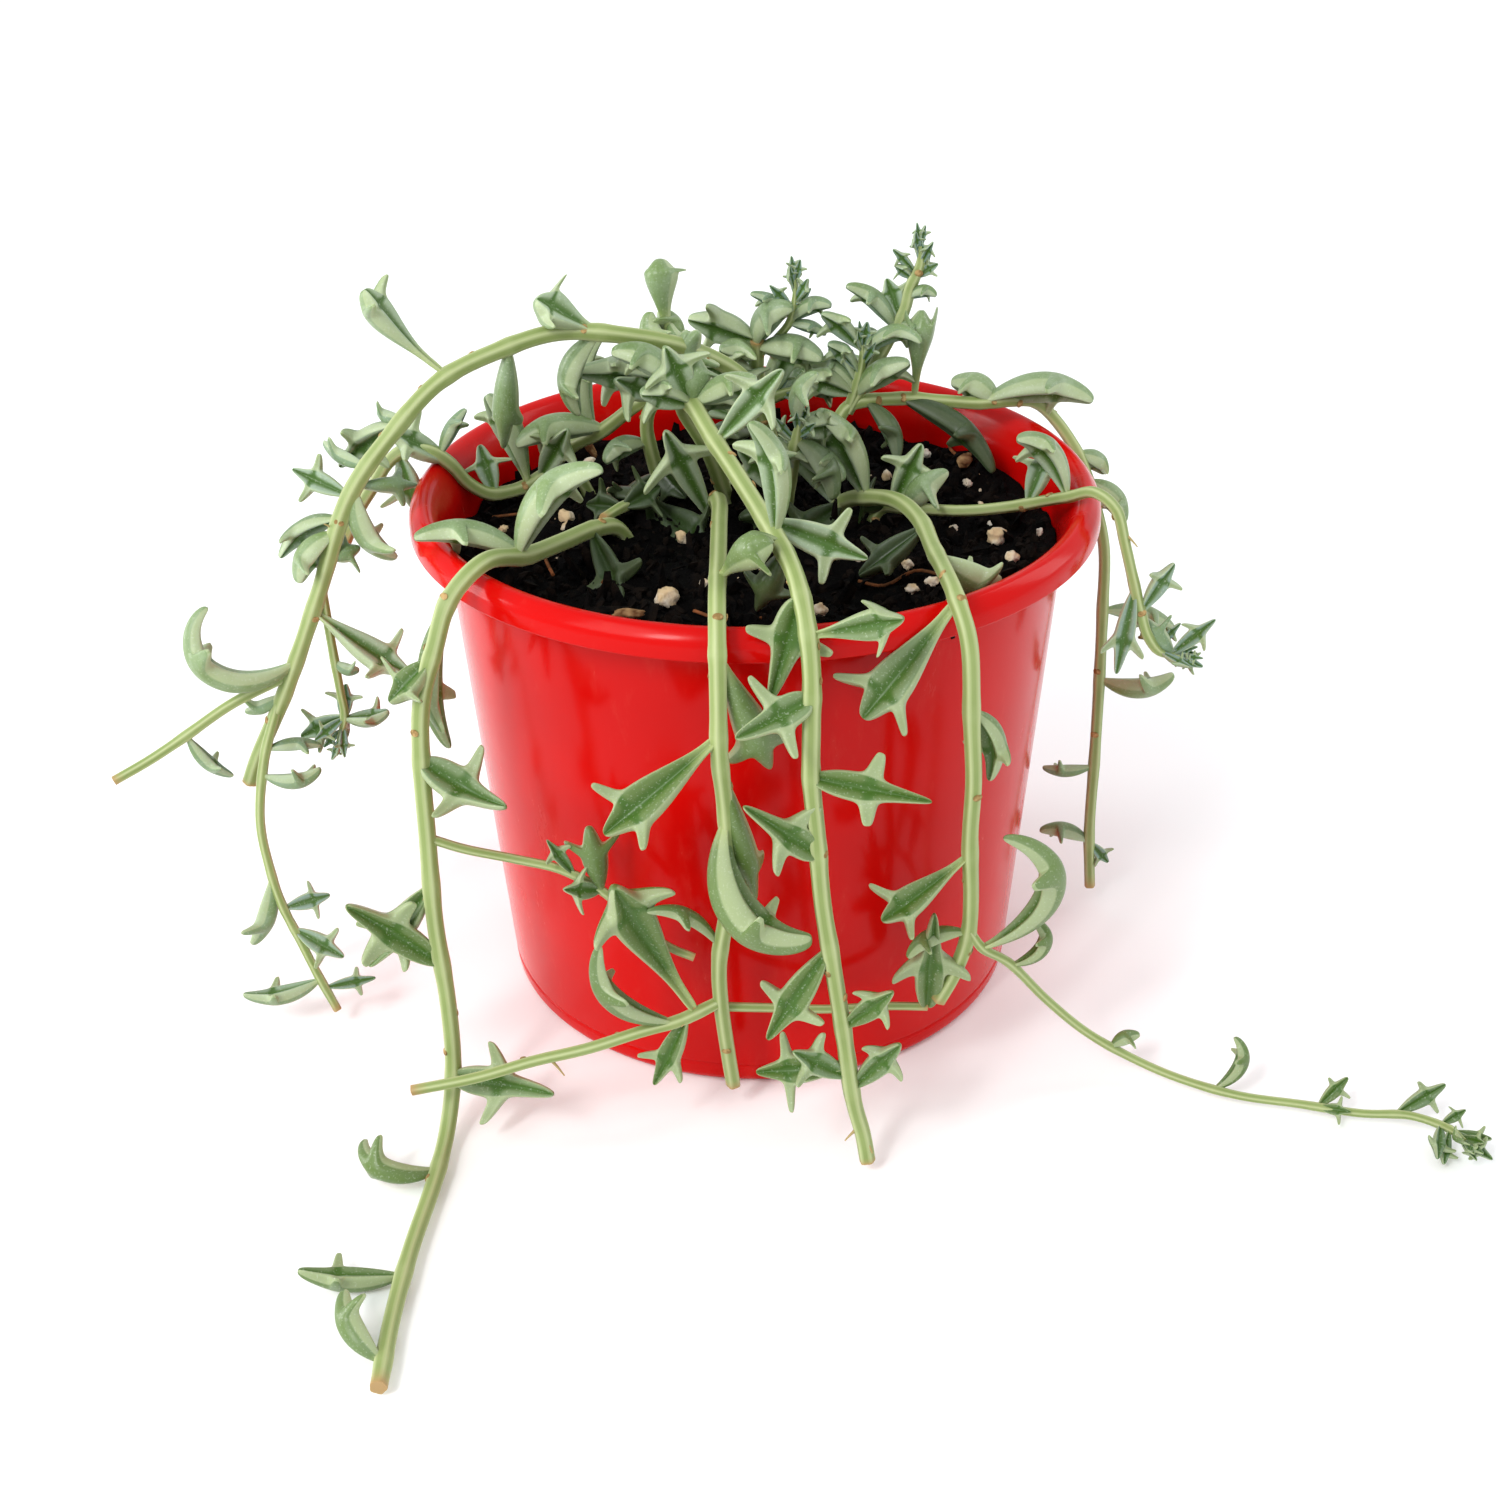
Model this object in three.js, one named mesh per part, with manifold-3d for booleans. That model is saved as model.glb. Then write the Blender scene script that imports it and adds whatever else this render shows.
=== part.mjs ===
// Potted string of dolphins: trailing succulent stems in a squat nursery pot.
// Millimetres, +Z up. The origin is the middle of the flat pot base; -Y is the front.
import * as THREE from 'three';
import { mergeVertices } from 'three/addons/utils/BufferGeometryUtils.js';
import Module from 'manifold-3d';

const wasm = await Module();
wasm.setup();

// Pot
const potHeight = 111.6;        // to the top of the rolled rim
const rimRadius = 70;           // outside of the rim
const bodyTopRadius = 63.3;     // outside of the wall, just under the rim
const bodyBaseRadius = 55.5;    // outside of the wall at the base
const wallTop = 104;            // where the wall turns out into the rim
const skirtBottom = 105.6;      // lower edge of the rim's turned-down skirt
const wall = 1.3;               // moulded wall thickness
const floorThickness = 1.6;
const footRound = 1.5;          // height and depth of the rounded foot
const shoulderRadius = 65.6;    // outside of the wall where it has turned out under the rim
const shoulderHeight = 107.6;
const skirtRadius = 68.6;       // inside of the turned-down skirt
const skirtRound = 2.2;         // rounding of the rim's outer edge, downwards from its top
const crownRadius = 67.6;       // outer edge of the rim's flat top
const lipRadius = 65.8;         // inner edge of the rim's top
const lipRound = 0.7;
const lipBlend = 0.5;           // the inside turns out this far above the outside
const skirtFlare = 0.3;
const rimDraft = 0.2;
const holeSides = 8;
const potSegments = 36;
const drainHoles = 8;
const drainRadius = 4;
const drainCircle = 42;         // radius of the circle the holes stand on

// Potting mix
const soilLevel = 100;
const soilSwell = 1.2;          // height of the low mounds on its surface
const soilEdgeDrop = 2;         // the surface slopes down to the wall
const soilRings = [54, 38, 20]; // radii that the surface is divided at
const moundWidth = 9;

// Fit
const gap = 0.3;                // clearance between pieces that touch
const facetTolerance = 0.12;    // facets closer to flat than this are merged
const stemSides = 5;
const stepLength = 10;          // length of one stretch of a stem tube
const fullGrownGirth = 9;       // leaves this thick are pieces of their own

const potColour = 0xc8201c;
const soilColour = 0x17110d;
const stemColour = 0xa3b070;
const leafColour = 0x7f9874;

// Leaf outline along its length, as shares of the half girth: [place, half width, half depth]
const leafOutline = [
  [0, 0.2, 0.2],
  [0.1, 0.22, 0.3],
  [0.28, 0.48, 0.7],
  [0.5, 0.68, 0.86],
  [0.62, 1.5, 0.76],     // the two side lobes
  [0.72, 0.58, 0.74],
  [0.86, 0.38, 0.52],
  [1, 0.12, 0.12],
];
const lobePlace = 0.62;
const lobeSweep = 0.1;          // how far forward the lobes reach, as a share of the leaf's length
const lobeRise = 0.25;          // how far the lobes rise towards the groove in front, in half girths
const isYoungRow = ([place]) => [0, 0.28, 0.62, 1].includes(place);
const fullGrownLeaf = { sides: 5, outline: leafOutline };
const youngLeaf = { sides: 4, outline: leafOutline.filter(isYoungRow) };
const bendGrowth = 1.5;         // the curve tightens towards the leaf tip
const leafFront = new THREE.Vector3(0, -0.86, 0.5);   // an unrolled leaf faces this way

// Each shoot has a tube radius and a route of points along its middle.
// A leaf row is [place along the shoot 0..1, tip from its foot, roll, bend, girth], in mm and degrees,
// then for some leaves the reach of the side lobes and their place along the leaf.
const plant = {
  arching: [
    {
      radius: 1.9,
      route: [[4, 24, 92], [4, 20, 110], [-1, 12, 127], [-12, 5, 137], [-26, 0, 142], [-38, -1, 143],
        [-49, -5, 141], [-60, -10, 137], [-69, -15, 129], [-79, -18, 116], [-87, -20, 96], [-96, -20, 75],
        [-104, -18, 59], [-107, -18, 52]],
      leaves: [
        [0.53, [-14, -2, 18], 60, 25, 8.5, 0.7, 0.8],
        [0.45, [-3, 4, -23], 180, 20, 8, 0.3],
        [0.33, [-12, -3, 8], 30, 20, 10, 0.7, 0.8],
        [0.82, [-15, 0, 13], 90, 190, 8.5],
        [0.78, [19, -4, -13], -40, 25, 8.5, 0.9, 0.7],
        [0.85, [-10, 4, -6], 120, 30, 4.5],
        [0.61, [-14, 5, -11], -40, 60, 8],
        [0.66, [-10, 9, 2], 90, 20, 5],
        [0.69, [-12, 5, 4], 0, 20, 7],
        [0.68, [11, 7, -3], 180, 20, 5],
        [0.68, [7, 1, -16], -90, 70, 8],
        [0.6, [-6, 5, 0], 90, 40, 4.5],
        [0.71, [-14, 3, -10], -60, 70, 7],
        [0.72, [-8, -3, -10], -90, 50, 8.5],
        [0.74, [6, 3, 1], 180, 10, 5],
        [0.33, [-5, 4, -19], -90, 80, 8.5],
      ],
    },
    {
      radius: 1.2,
      route: [[-96, -20, 78], [-107, -22, 73], [-117, -25, 67], [-124, -27, 63], [-131, -30, 60]],
      leaves: [
        [0.48, [8, 2, -11], -90, 40, 5],
      ],
    },
    {
      radius: 1,
      route: [[-86, -20, 97], [-86, -18, 84], [-86, -16, 73], [-86, -15, 66], [-88, -15, 60]],
      leaves: [
        [0.33, [5, 0, -2], -90, 50, 4.5],
        [0.8, [1, 2, 8], 0, 20, 4.5],
        [0.75, [-10, 0, -5], 0, 20, 6],
        [0.77, [10, -2, 3], -60, 45, 6],
      ],
    },
    {
      radius: 1.1,
      route: [[-98, -20, 72], [-102, -22, 60], [-104, -25, 47], [-103, -27, 36], [-101, -29, 28],
        [-98, -31, 21], [-95, -33, 14], [-91, -35, 5]],
      leaves: [
        [0.12, [11, 3, -1], 90, 20, 5],
        [0.18, [13, -2, 3], -90, 60, 6],
        [0.45, [-7, 0, -18], 90, 30, 6.5],
        [0.58, [10, 2, 2], 0, 10, 5],
        [0.67, [11, -4, -5], 0, 10, 6],
        [0.89, [-17, -2, -2], 70, 50, 6.5],
        [0.92, [11, 2, 1], 0, 10, 4.5],
      ],
    },
  ],
  inner: [
    {
      radius: 1.7,
      route: [[-46, 28, 92], [-44, 26, 103], [-39, 25, 109], [-32, 21, 114], [-25, 16, 121],
        [-20, 10, 126]],
      leaves: [
        [0.56, [4, 0, 23], 90, 80, 8.5],
        [0.62, [-19, -5, -2], -90, 45, 10, 0.7],
      ],
    },
  ],
  left_rim: [
    {
      radius: 1.6,
      route: [[-33, 24, 92], [-38, 21, 104], [-44, 19, 105], [-48, 17, 103.5], [-52, 15, 103],
        [-56, 13, 103.5], [-60, 12, 106.5], [-63, 11, 111], [-67, 10, 114.5], [-72, 11, 114.5],
        [-76, 10, 112], [-79, 7, 108], [-82, 4, 104], [-85, 2, 98]],
      leaves: [
        [0.55, [-12, -3, 9], 30, 10, 8],
        [0.58, [6, 4, 9], 90, 20, 5],
        [0.23, [-8, 2, 20], -70, 25, 10, 0.5, 0.7],
        [0.18, [7, -5, 13], 0, 20, 8.5],
        [0.36, [-3, 4, 10], 0, 10, 6.5],
        [0.72, [3, -4, -12], 10, 20, 7],
      ],
    },
  ],
  long_trailing: [
    {
      radius: 1.9,
      route: [[-24, 1, 92], [-28, -3, 102], [-33, -10, 105], [-38, -20, 107], [-44, -33, 110],
        [-50, -45, 114.5], [-56, -51, 110], [-59, -55, 102], [-62, -57, 92], [-63, -58, 80],
        [-63, -60, 66], [-63, -62, 47], [-62, -63, 28], [-62, -65, 13], [-63, -73, 4], [-64, -87, 2.6],
        [-66, -105, 2.6], [-67, -122, 2.6], [-67, -138, 2.6]],
      leaves: [
        [0.22, [-21, -3, 5], -90, 50, 8.5],
        [0.23, [18, -4, 19], 90, 70, 10.5],
        [0.34, [-2, 3, -33], -90, 45, 8],
        [0.4, [-8, -4, -7], 30, 20, 8, 1.2],
        [0.5, [17, -10, -4], -20, 75, 9, 1.1, 0.42],
        [0.59, [-15, 2, -21], 10, 20, 8.5],
        [0.64, [-16, -7, 19], 0, 40, 9, 1.3, 0.5],
        [0.73, [22, -10, 3], 0, 40, 8.5, 1.2, 0.42],
        [0.82, [-14, 5, 4], 150, 150, 6.5],
        [0.91, [-19, -2, 4], 80, 30, 7],
        [0.98, [-8, 13, 5], 130, 60, 7],
        [0.11, [7, -22, -6], 10, 25, 8.5, 1.5, 0.6],
      ],
    },
    {
      radius: 1,
      route: [[-62, -60, 64], [-56, -59, 61], [-47, -58, 58], [-38, -59, 56], [-30, -61, 52],
        [-24, -63, 46], [-18, -65, 42], [-13, -66, 40]],
      leaves: [
        [0.47, [-5, -1, 9], 0, 10, 4],
        [0.56, [-7, -4, 3], 0, 10, 6],
        [0.56, [-2, 2, 14], 180, 20, 7],
      ],
    },
  ],
  front_trailing: [
    {
      radius: 1.8,
      route: [[-8, 12, 92], [-8, 6, 104], [-7, -6, 108], [-7, -20, 110], [-7, -36, 112], [-7, -52, 114],
        [-7, -65, 115.5], [-7, -73, 111], [-7, -75, 103], [-7, -75, 90], [-6, -74, 75], [-6, -72, 58],
        [-8, -70, 43], [-8, -68, 31], [-7, -66, 18], [-6, -64, 7]],
      leaves: [
        [0.34, [10, -6, 10], 120, 30, 9.5, 0.3, 0.8],
        [0.02, [-10, -9, 26], 0, 10, 8.5, 1.9, 0.72],
        [0.58, [-21, -7, -16], 15, 20, 12, 0.85, 0.74],
        [0.48, [9, 5, -26], 180, 20, 9, 0.8, 0.75],
        [0.61, [6, 6, -33], 180, 10, 8.5, 0.4, 0.7],
        [0.66, [16, -9, -20], -75, 125, 13, 0.75, 0.7],
        [0.79, [-14, -5, 12], -90, 60, 5],
      ],
    },
    {
      radius: 1.3,
      route: [[-8, -68, 31], [-16, -70, 28], [-24, -71, 26], [-34, -72, 23], [-45, -72, 20],
        [-56, -73, 17], [-69, -73, 14]],
      leaves: [
        [0.19, [-13, -2, 21], 90, 95, 7.5],
        [0.1, [-14, -8, 35], 15, 35, 12, 0.85, 0.78],
        [0.14, [-7, -4, -14], 20, 20, 7],
      ],
    },
    {
      radius: 1,
      route: [[-7, -66, 28], [3, -64, 26], [13, -62, 24], [24, -60, 23], [33, -59, 22]],
      leaves: [
        [1, [0, -8, 29], 0, 15, 9.5, 1.3, 0.45],
      ],
    },
  ],
  middle_trailing: [
    {
      radius: 1.9,
      route: [[-4, 18, 92], [-9, 12, 112], [-14, 2, 126], [-12, -9, 131], [-8, -19, 128], [-3, -32, 125],
        [2, -46, 122], [6, -60, 120], [8, -70, 116], [9, -76, 108], [9, -78, 98], [9, -78, 87],
        [10, -79, 75], [11, -80, 62], [13, -81, 48], [15, -82, 34], [17, -82, 18], [19, -82, 9],
        [20, -83, 3]],
      leaves: [
        [0.35, [-5, -6, 24], -60, 60, 8.5, 1.3],
        [0.43, [-6, -6, -18], 0, 15, 9, 1, 0.38],
        [0.53, [-14, -7, -4], 10, 40, 8, 1.4, 0.38],
        [0.47, [16, -6, 6], 15, 20, 8.5, 0.75, 0.78],
        [0.61, [22, -6, -2], 0, 12, 8.5, 1.05, 0.48],
        [0.68, [-14, -5, 14], 0, 20, 8.5, 1.15, 0.36],
        [0.76, [-12, -5, -18], 0, 15, 8],
        [0.83, [9, -5, 12], 0, 15, 6.5],
        [0.87, [-11, -3, 9], 0, 20, 6.5],
        [0.88, [9, -3, 13], 0, 30, 7],
        [0.86, [-18, 2, -3], 0, 20, 8.5, 1.3],
        [0.33, [19, -5, -6], 0, 10, 8],
        [0.23, [13, -4, 16], 0, 20, 8.5, 1.3],
        [0.17, [13, -3, 6], 90, 20, 8.5],
        [0.37, [-5, 2, -13], 180, 10, 8.5],
        [0.17, [-16, 2, 10], -90, 60, 9.5, 0.8, 0.7],
        [0.17, [-5, -3, 13], 0, 30, 8.5, 1, 0.6],
        [0.17, [1, 3, 9], 180, 20, 8.5, 0.6, 0.7],
        [0.17, [-10, -5, 4], -60, 40, 8.5],
      ],
    },
  ],
  right_trailing: [
    {
      radius: 1.8,
      route: [[14, 8, 92], [18, 6, 103], [24, 0, 107], [29, -10, 110], [32, -24, 112], [33, -40, 113.5],
        [34, -54, 115], [35, -63, 114.5], [37, -69, 108], [38, -69, 93], [39, -68, 80], [39, -67, 67],
        [40, -65, 52], [40, -63, 42], [38, -61, 32], [35, -61, 25]],
      leaves: [
        [0.47, [-17, -7, -20], 10, 20, 11, 0.75, 0.76],
        [0.59, [4, 3, -17], 60, 80, 7],
        [0.75, [-17, -6, -11], 20, 30, 9, 0.9, 0.75],
        [0.86, [-12, -2, -5], -90, 60, 6],
        [0.28, [-13, -3, -9], 30, 20, 8.5],
        [0.35, [13, 4, -7], -90, 40, 10.5, 0.5],
        [0.12, [-11, -3, 20], -60, 45, 11],
        [0.06, [-13, 4, 15], -60, 50, 10],
        [0.07, [-11, -12, -3], 10, 20, 8.4],
      ],
    },
    {
      radius: 1,
      route: [[40, -64, 44], [43, -63, 39], [49, -60, 33], [57, -57, 22], [66, -55, 12], [76, -55, 5],
        [85, -60, 3.5], [96, -65, 3], [108, -68, 3], [119, -71, 3], [128, -73, 4], [134, -78, 5],
        [136, -83, 6]],
      leaves: [
        [0.08, [1, -4, 28], -90, 150, 9],
        [0.17, [2, 0, 11], -90, 160, 5],
        [0.38, [6, 0, 3], 90, 30, 5],
        [0.55, [3, 2, 12], -90, 110, 5],
        [0.69, [6, 2, 6], 0, 10, 4],
        [0.69, [6, -3, 1], 0, 10, 3.5],
        [0.81, [10, 2, 6], 0, 10, 4.5],
        [0.9, [-3, -9, -1], 0, 10, 4],
        [0.93, [6, -8, -1], 0, 10, 4],
        [0.9, [5, 1, 3], 0, 10, 3.5],
      ],
    },
  ],
  right_rim: [
    {
      radius: 1.3,
      route: [[22, 7, 92], [26, 5, 102], [31, 1, 104], [42, -3, 105], [51, -6, 107], [58, -10, 110],
        [62, -14, 112.5], [66, -18, 115], [70, -21, 112.5], [72, -22, 106], [74, -22, 99], [76, -22, 92],
        [78, -22, 86], [81, -22, 82], [85, -22, 81]],
      leaves: [
        [0.32, [4, 2, 12], -30, 20, 7],
        [0.42, [-11, 0, 12], -70, 95, 8],
        [0.11, [6, 0, 14], 10, 10, 9, 1.2],
        [0.14, [9, -2, 9], 120, 20, 8.5],
        [0.1, [-7, 3, 1], 180, 10, 6.5],
        [0.74, [-3, -4, -18], 0, 10, 5.5],
        [0.8, [6, 0, 11], 20, 20, 5.5],
        [0.97, [8, -2, 9], 0, 10, 5],
        [0.98, [-6, 3, 7], 150, 10, 5],
        [0.97, [7, 0, -3], 0, 10, 3.5],
      ],
    },
  ],
  back: [
    {
      radius: 1.5,
      route: [[16, 20, 92], [17, 22, 108], [20, 25, 117], [31, 27, 118], [40, 28, 117], [48, 29, 116],
        [55, 30, 116], [61, 33, 114.5], [66, 34, 110], [71, 31, 103], [74, 25, 95], [76, 19, 86],
        [76, 15, 73], [76, 12, 57], [76, 10, 38], [76, 9, 20], [77, 8, 5]],
      leaves: [
        [0.35, [-10, 4, 3], -90, 40, 10, 0.5, 0.6],
        [0.32, [24, -4, 1], 80, 60, 10.5],
        [0.19, [20, -8, -15], 90, 50, 8.5],
        [0.56, [7, 2, -6], 90, 40, 7],
        [0.6, [8, -2, -10], 90, 55, 8.5],
        [0.81, [16, -3, 3], -90, 65, 8],
        [0.75, [17, 2, -6], 90, 30, 7],
        [0.88, [-12, 0, 0], 90, 30, 5],
        [0.95, [-12, 0, 3], -90, 40, 6.5],
        [0.95, [5, 0, -6], 0, 10, 4.5],
        [0.21, [1, -1, 20], 180, 10, 10, 0.4, 0.85],
        [0.15, [6, -10, -10], 90, 50, 7],
      ],
    },
    {
      radius: 1.4,
      route: [[20, 25, 116], [24, 26, 123], [27, 27, 128], [30, 28, 133], [32, 29, 137], [33, 30, 141],
        [35, 30, 146], [35, 30, 150]],
      leaves: [
        [0.43, [-11, -2, 10], -90, 50, 6.5],
        [0.5, [-3, 3, 8], 0, 15, 7],
        [0.77, [-4, 0, 3], -60, 30, 3.5],
        [0.78, [5, 0, 3], 0, 10, 3],
        [0.64, [6, -2, 1], 90, 90, 4.5],
        [0.44, [7, -4, -1], 90, 40, 6],
        [0.07, [11, -6, 9], 90, 30, 9],
        [0.86, [0, 0, 6], 0, 5, 3],
        [0.29, [-5, 0, 5], -90, 50, 6],
      ],
    },
    {
      radius: 1.2,
      route: [[20, 25, 116], [22, 25, 122], [23, 25, 127], [23, 25, 131]],
      leaves: [
        [0.87, [-9, -3, 9], -60, 40, 6],
        [0.78, [12, -6, 4], 90, 100, 6],
        [0.45, [-7, -3, 8], -60, 60, 6],
        [0.9, [1, 0, 6], 0, 10, 3.5],
        [0.21, [-11, -3, 5], -60, 40, 8.5],
        [0.27, [-10, 3, 5], -90, 40, 8],
        [0.33, [-6, 2, 8], -60, 30, 7],
      ],
    },
  ],
  crown_left: [
    {
      radius: 1.6,
      route: [[-17, 22, 92], [-21, 17, 108], [-22, 13, 120], [-17, 9, 129], [-16, 9, 135]],
      leaves: [
        [1, [-2, 2, 19], 150, 30, 10.5, 0.35, 0.86],
        [0.8, [4, -4, 11], 180, 10, 8.5],
        [0.77, [-19, -4, 3], -60, 20, 10.5, 0.8],
        [0.99, [-3, 4, 8], -90, 50, 8.5],
        [0.63, [-8, -8, 7], 0, 20, 7.5, 1.5],
        [0.35, [-9, -6, -2], -90, 60, 7.5],
        [0.85, [6, -5, 10], 180, 20, 8],
        [1, [-4, 0, 9], 90, 70, 8.5],
        [0.21, [-8, -4, -9], -30, 30, 9],
        [0.26, [7, -6, -6], 30, 30, 9],
        [0.1, [7, 3, 7], 60, 30, 8.5],
      ],
    },
    {
      radius: 1.3,
      route: [[-19, 20, 97], [-22, 12, 102], [-27, 4, 104], [-31, -2, 104]],
      leaves: [
        [0.24, [-5, -17, -10], 20, 20, 13, 0.6, 0.7],
        [0.3, [11, -13, -5], -10, 20, 11, 0.7, 0.7],
        [0.69, [-8, 4, -1], 0, 20, 8],
        [0.69, [8, 4, 3], 0, 20, 8],
        [0.33, [-11, 4, -2], -60, 30, 8],
      ],
    },
  ],
  crown_rear: [
    {
      radius: 1.5,
      route: [[-10, 44, 92], [-6, 46, 104], [3, 48, 110], [13, 47, 114]],
      leaves: [
        [0.45, [-15, 6, 6], 0, 30, 8],
        [0.6, [-3, 4, 17], 60, 25, 8.5],
        [0.8, [6, 14, 3], 0, 30, 8],
        [0.95, [14, 3, 5], 90, 40, 8],
        [0.43, [0, 2, 17], 60, 30, 9],
        [0.65, [8, 2, 15], 40, 30, 9],
        [0.5, [-10, -4, 11], -60, 30, 9],
        [0.85, [9, -2, 4], 60, 30, 9],
        [0.93, [9, -4, 0], 90, 30, 8.5],
      ],
    },
  ],
  crown_back: [
    {
      radius: 1.6,
      route: [[0, 34, 92], [1, 32, 112], [1, 30, 124], [1, 28, 131]],
      leaves: [
        [1, [-15, 3, 4], -60, 20, 10],
        [0.94, [8, -4, 9], 90, 80, 9.5],
        [0.9, [14, -6, -1], 90, 30, 10, 0.7],
        [0.77, [-8, -6, 4], -90, 20, 8.5],
        [0.61, [-12, -8, 5], -60, 20, 8.5],
        [0.43, [-14, -8, 3], -90, 20, 9],
        [0.47, [-3, -10, 8], 0, 20, 7.5],
        [0.28, [-12, -6, -1], -90, 30, 9],
        [0.24, [9, -4, -8], 90, 40, 9],
      ],
    },
    {
      radius: 0.9,
      route: [[1, 29, 127], [5, 29, 131], [8, 28, 135], [9, 28, 140], [9, 28, 144]],
      leaves: [
        [0.56, [-9, 0, 5], -90, 30, 4.5],
        [0.48, [9, -2, 4], 90, 70, 6],
        [0.67, [0, 0, 1], 0, 10, 3],
        [0.47, [8, -2, -2], 90, 30, 4.5],
      ],
    },
  ],
  crown_right: [
    {
      radius: 1.6,
      route: [[5, 10, 92], [7, 4, 108], [8, 0, 117], [9, -2, 124]],
      leaves: [
        [0.98, [4, -3, 12], 90, 60, 6.5],
        [0.5, [-5, -4, 9], 90, 20, 7],
        [0.24, [-10, -2, 13], -30, 30, 8],
        [0.21, [-10, -6, 0], 180, 20, 7.5],
        [0.66, [10, -4, -5], 80, 50, 9],
        [0.92, [9, 2, 0], 60, 40, 9],
        [0.8, [7, -6, -11], 90, 60, 9],
        [0.38, [-3, -6, 11], -30, 30, 8],
      ],
    },
  ],
};

const isFullGrown = (leaf) => leaf[4] >= fullGrownGirth;

// A merged, position-only copy of a geometry as a solid that can be joined and cut
function toSolid(geometry) {
  geometry.deleteAttribute('normal');
  geometry.deleteAttribute('uv');
  const merged = mergeVertices(geometry, 1e-4);
  return new wasm.Manifold(new wasm.Mesh({
    numProp: 3,
    vertProperties: new Float32Array(merged.attributes.position.array),
    triVerts: new Uint32Array(merged.index.array),
  }));
}

function toMesh(solid, name, material) {
  const { vertProperties, triVerts } = solid.getMesh();
  const geometry = new THREE.BufferGeometry();
  geometry.setAttribute('position', new THREE.BufferAttribute(new Float32Array(vertProperties), 3));
  geometry.setIndex(new THREE.BufferAttribute(new Uint32Array(triVerts), 1));
  geometry.computeVertexNormals();
  const mesh = new THREE.Mesh(geometry, material);
  mesh.name = name;
  return mesh;
}

// A closed profile of [radius, height] points spun about the pot's axis
function spin(profile) {
  const points = profile.map(([radius, height]) => new THREE.Vector2(radius, height));
  const geometry = new THREE.LatheGeometry(points, potSegments);
  geometry.rotateX(Math.PI / 2);
  return geometry;
}

function wallRadius(height) {
  return bodyBaseRadius + (bodyTopRadius - bodyBaseRadius) * height / wallTop;
}

// The moulded shell, thickened all over by extra to make the clearance body
function potShell(extra) {
  const outside = extra;
  const inside = wall + extra;
  const lipTop = potHeight + extra;
  return toSolid(spin([
    [0, -extra],
    [wallRadius(0) - footRound + outside, -extra],
    [wallRadius(footRound) + outside, footRound],
    [wallRadius(wallTop) + outside, wallTop - extra],
    [shoulderRadius + outside, shoulderHeight - extra],
    [skirtRadius - outside, shoulderHeight - extra],
    [skirtRadius + skirtFlare - outside, skirtBottom - extra],
    [rimRadius + outside, skirtBottom - extra],
    [rimRadius - rimDraft + outside, potHeight - skirtRound + extra / 2],
    [crownRadius, lipTop],
    [lipRadius - outside / 2, lipTop - lipRound],
    [wallRadius(wallTop) - inside, wallTop + lipBlend],
    [wallRadius(floorThickness) - inside, floorThickness + extra],
    [0, floorThickness + extra],
  ]));
}

function makePot() {
  let pot = potShell(0);
  for (let i = 0; i < drainHoles; i += 1) {
    const turn = (i + 0.5) * 2 * Math.PI / drainHoles;
    const hole = new THREE.CylinderGeometry(drainRadius, drainRadius, 3 * floorThickness, holeSides);
    hole.rotateX(Math.PI / 2);
    hole.translate(drainCircle * Math.cos(turn), drainCircle * Math.sin(turn), floorThickness / 2);
    pot = pot.subtract(toSolid(hole));
  }
  return pot;
}

// A plug of potting mix with an uneven top, a hair inside the wall and the floor
function makeSoil() {
  const fit = wall + 4 / 3 * gap;
  const bottom = floorThickness + gap;
  const edge = soilLevel - soilEdgeDrop;
  const geometry = spin([
    [0, bottom],
    [wallRadius(bottom) - fit, bottom],
    [wallRadius(edge) - fit, edge],
    ...soilRings.map((radius) => [radius, soilLevel]),
    [0, soilLevel],
  ]);
  const position = geometry.attributes.position;
  for (let i = 0; i < position.count; i += 1) {
    const [x, y, z] = [position.getX(i), position.getY(i), position.getZ(i)];
    if (z > edge) {
      const broad = Math.sin(x / moundWidth) * Math.cos(y / moundWidth);
      const small = Math.sin(1.5 * (x + y) / moundWidth) / 2;
      position.setZ(i, z + soilSwell * (broad + small) - 0.5);
    }
  }
  return toSolid(geometry);
}

function curveOf(shoot) {
  const points = shoot.route.map(([x, y, z]) => new THREE.Vector3(x, y, z));
  return new THREE.CatmullRomCurve3(points, false, 'catmullrom', 0.5);
}

function stemTube(shoot, extra) {
  const curve = curveOf(shoot);
  const outline = new THREE.Shape();
  for (let i = 0; i < stemSides; i += 1) {
    const turn = 2 * Math.PI * i / stemSides;
    const [u, v] = [Math.cos(turn), Math.sin(turn)].map((share) => share * (shoot.radius + extra));
    if (i === 0) outline.moveTo(u, v);
    else outline.lineTo(u, v);
  }
  const steps = Math.max(3, Math.round(curve.getLength() / stepLength));
  return toSolid(new THREE.ExtrudeGeometry(outline, { steps, bevelEnabled: false, extrudePath: curve }));
}

// The middle line of a leaf of unit length in its own plane, and its direction there
function middleLine(bend) {
  const count = 40;
  const line = [{ x: 0, z: 0, turn: 0 }];
  for (let i = 1; i <= count; i += 1) {
    const turn = bend * ((i - 0.5) / count) ** bendGrowth;
    const last = line[i - 1];
    line.push({ x: last.x + Math.cos(turn) / count, z: last.z + Math.sin(turn) / count, turn });
  }
  return line;
}

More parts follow.
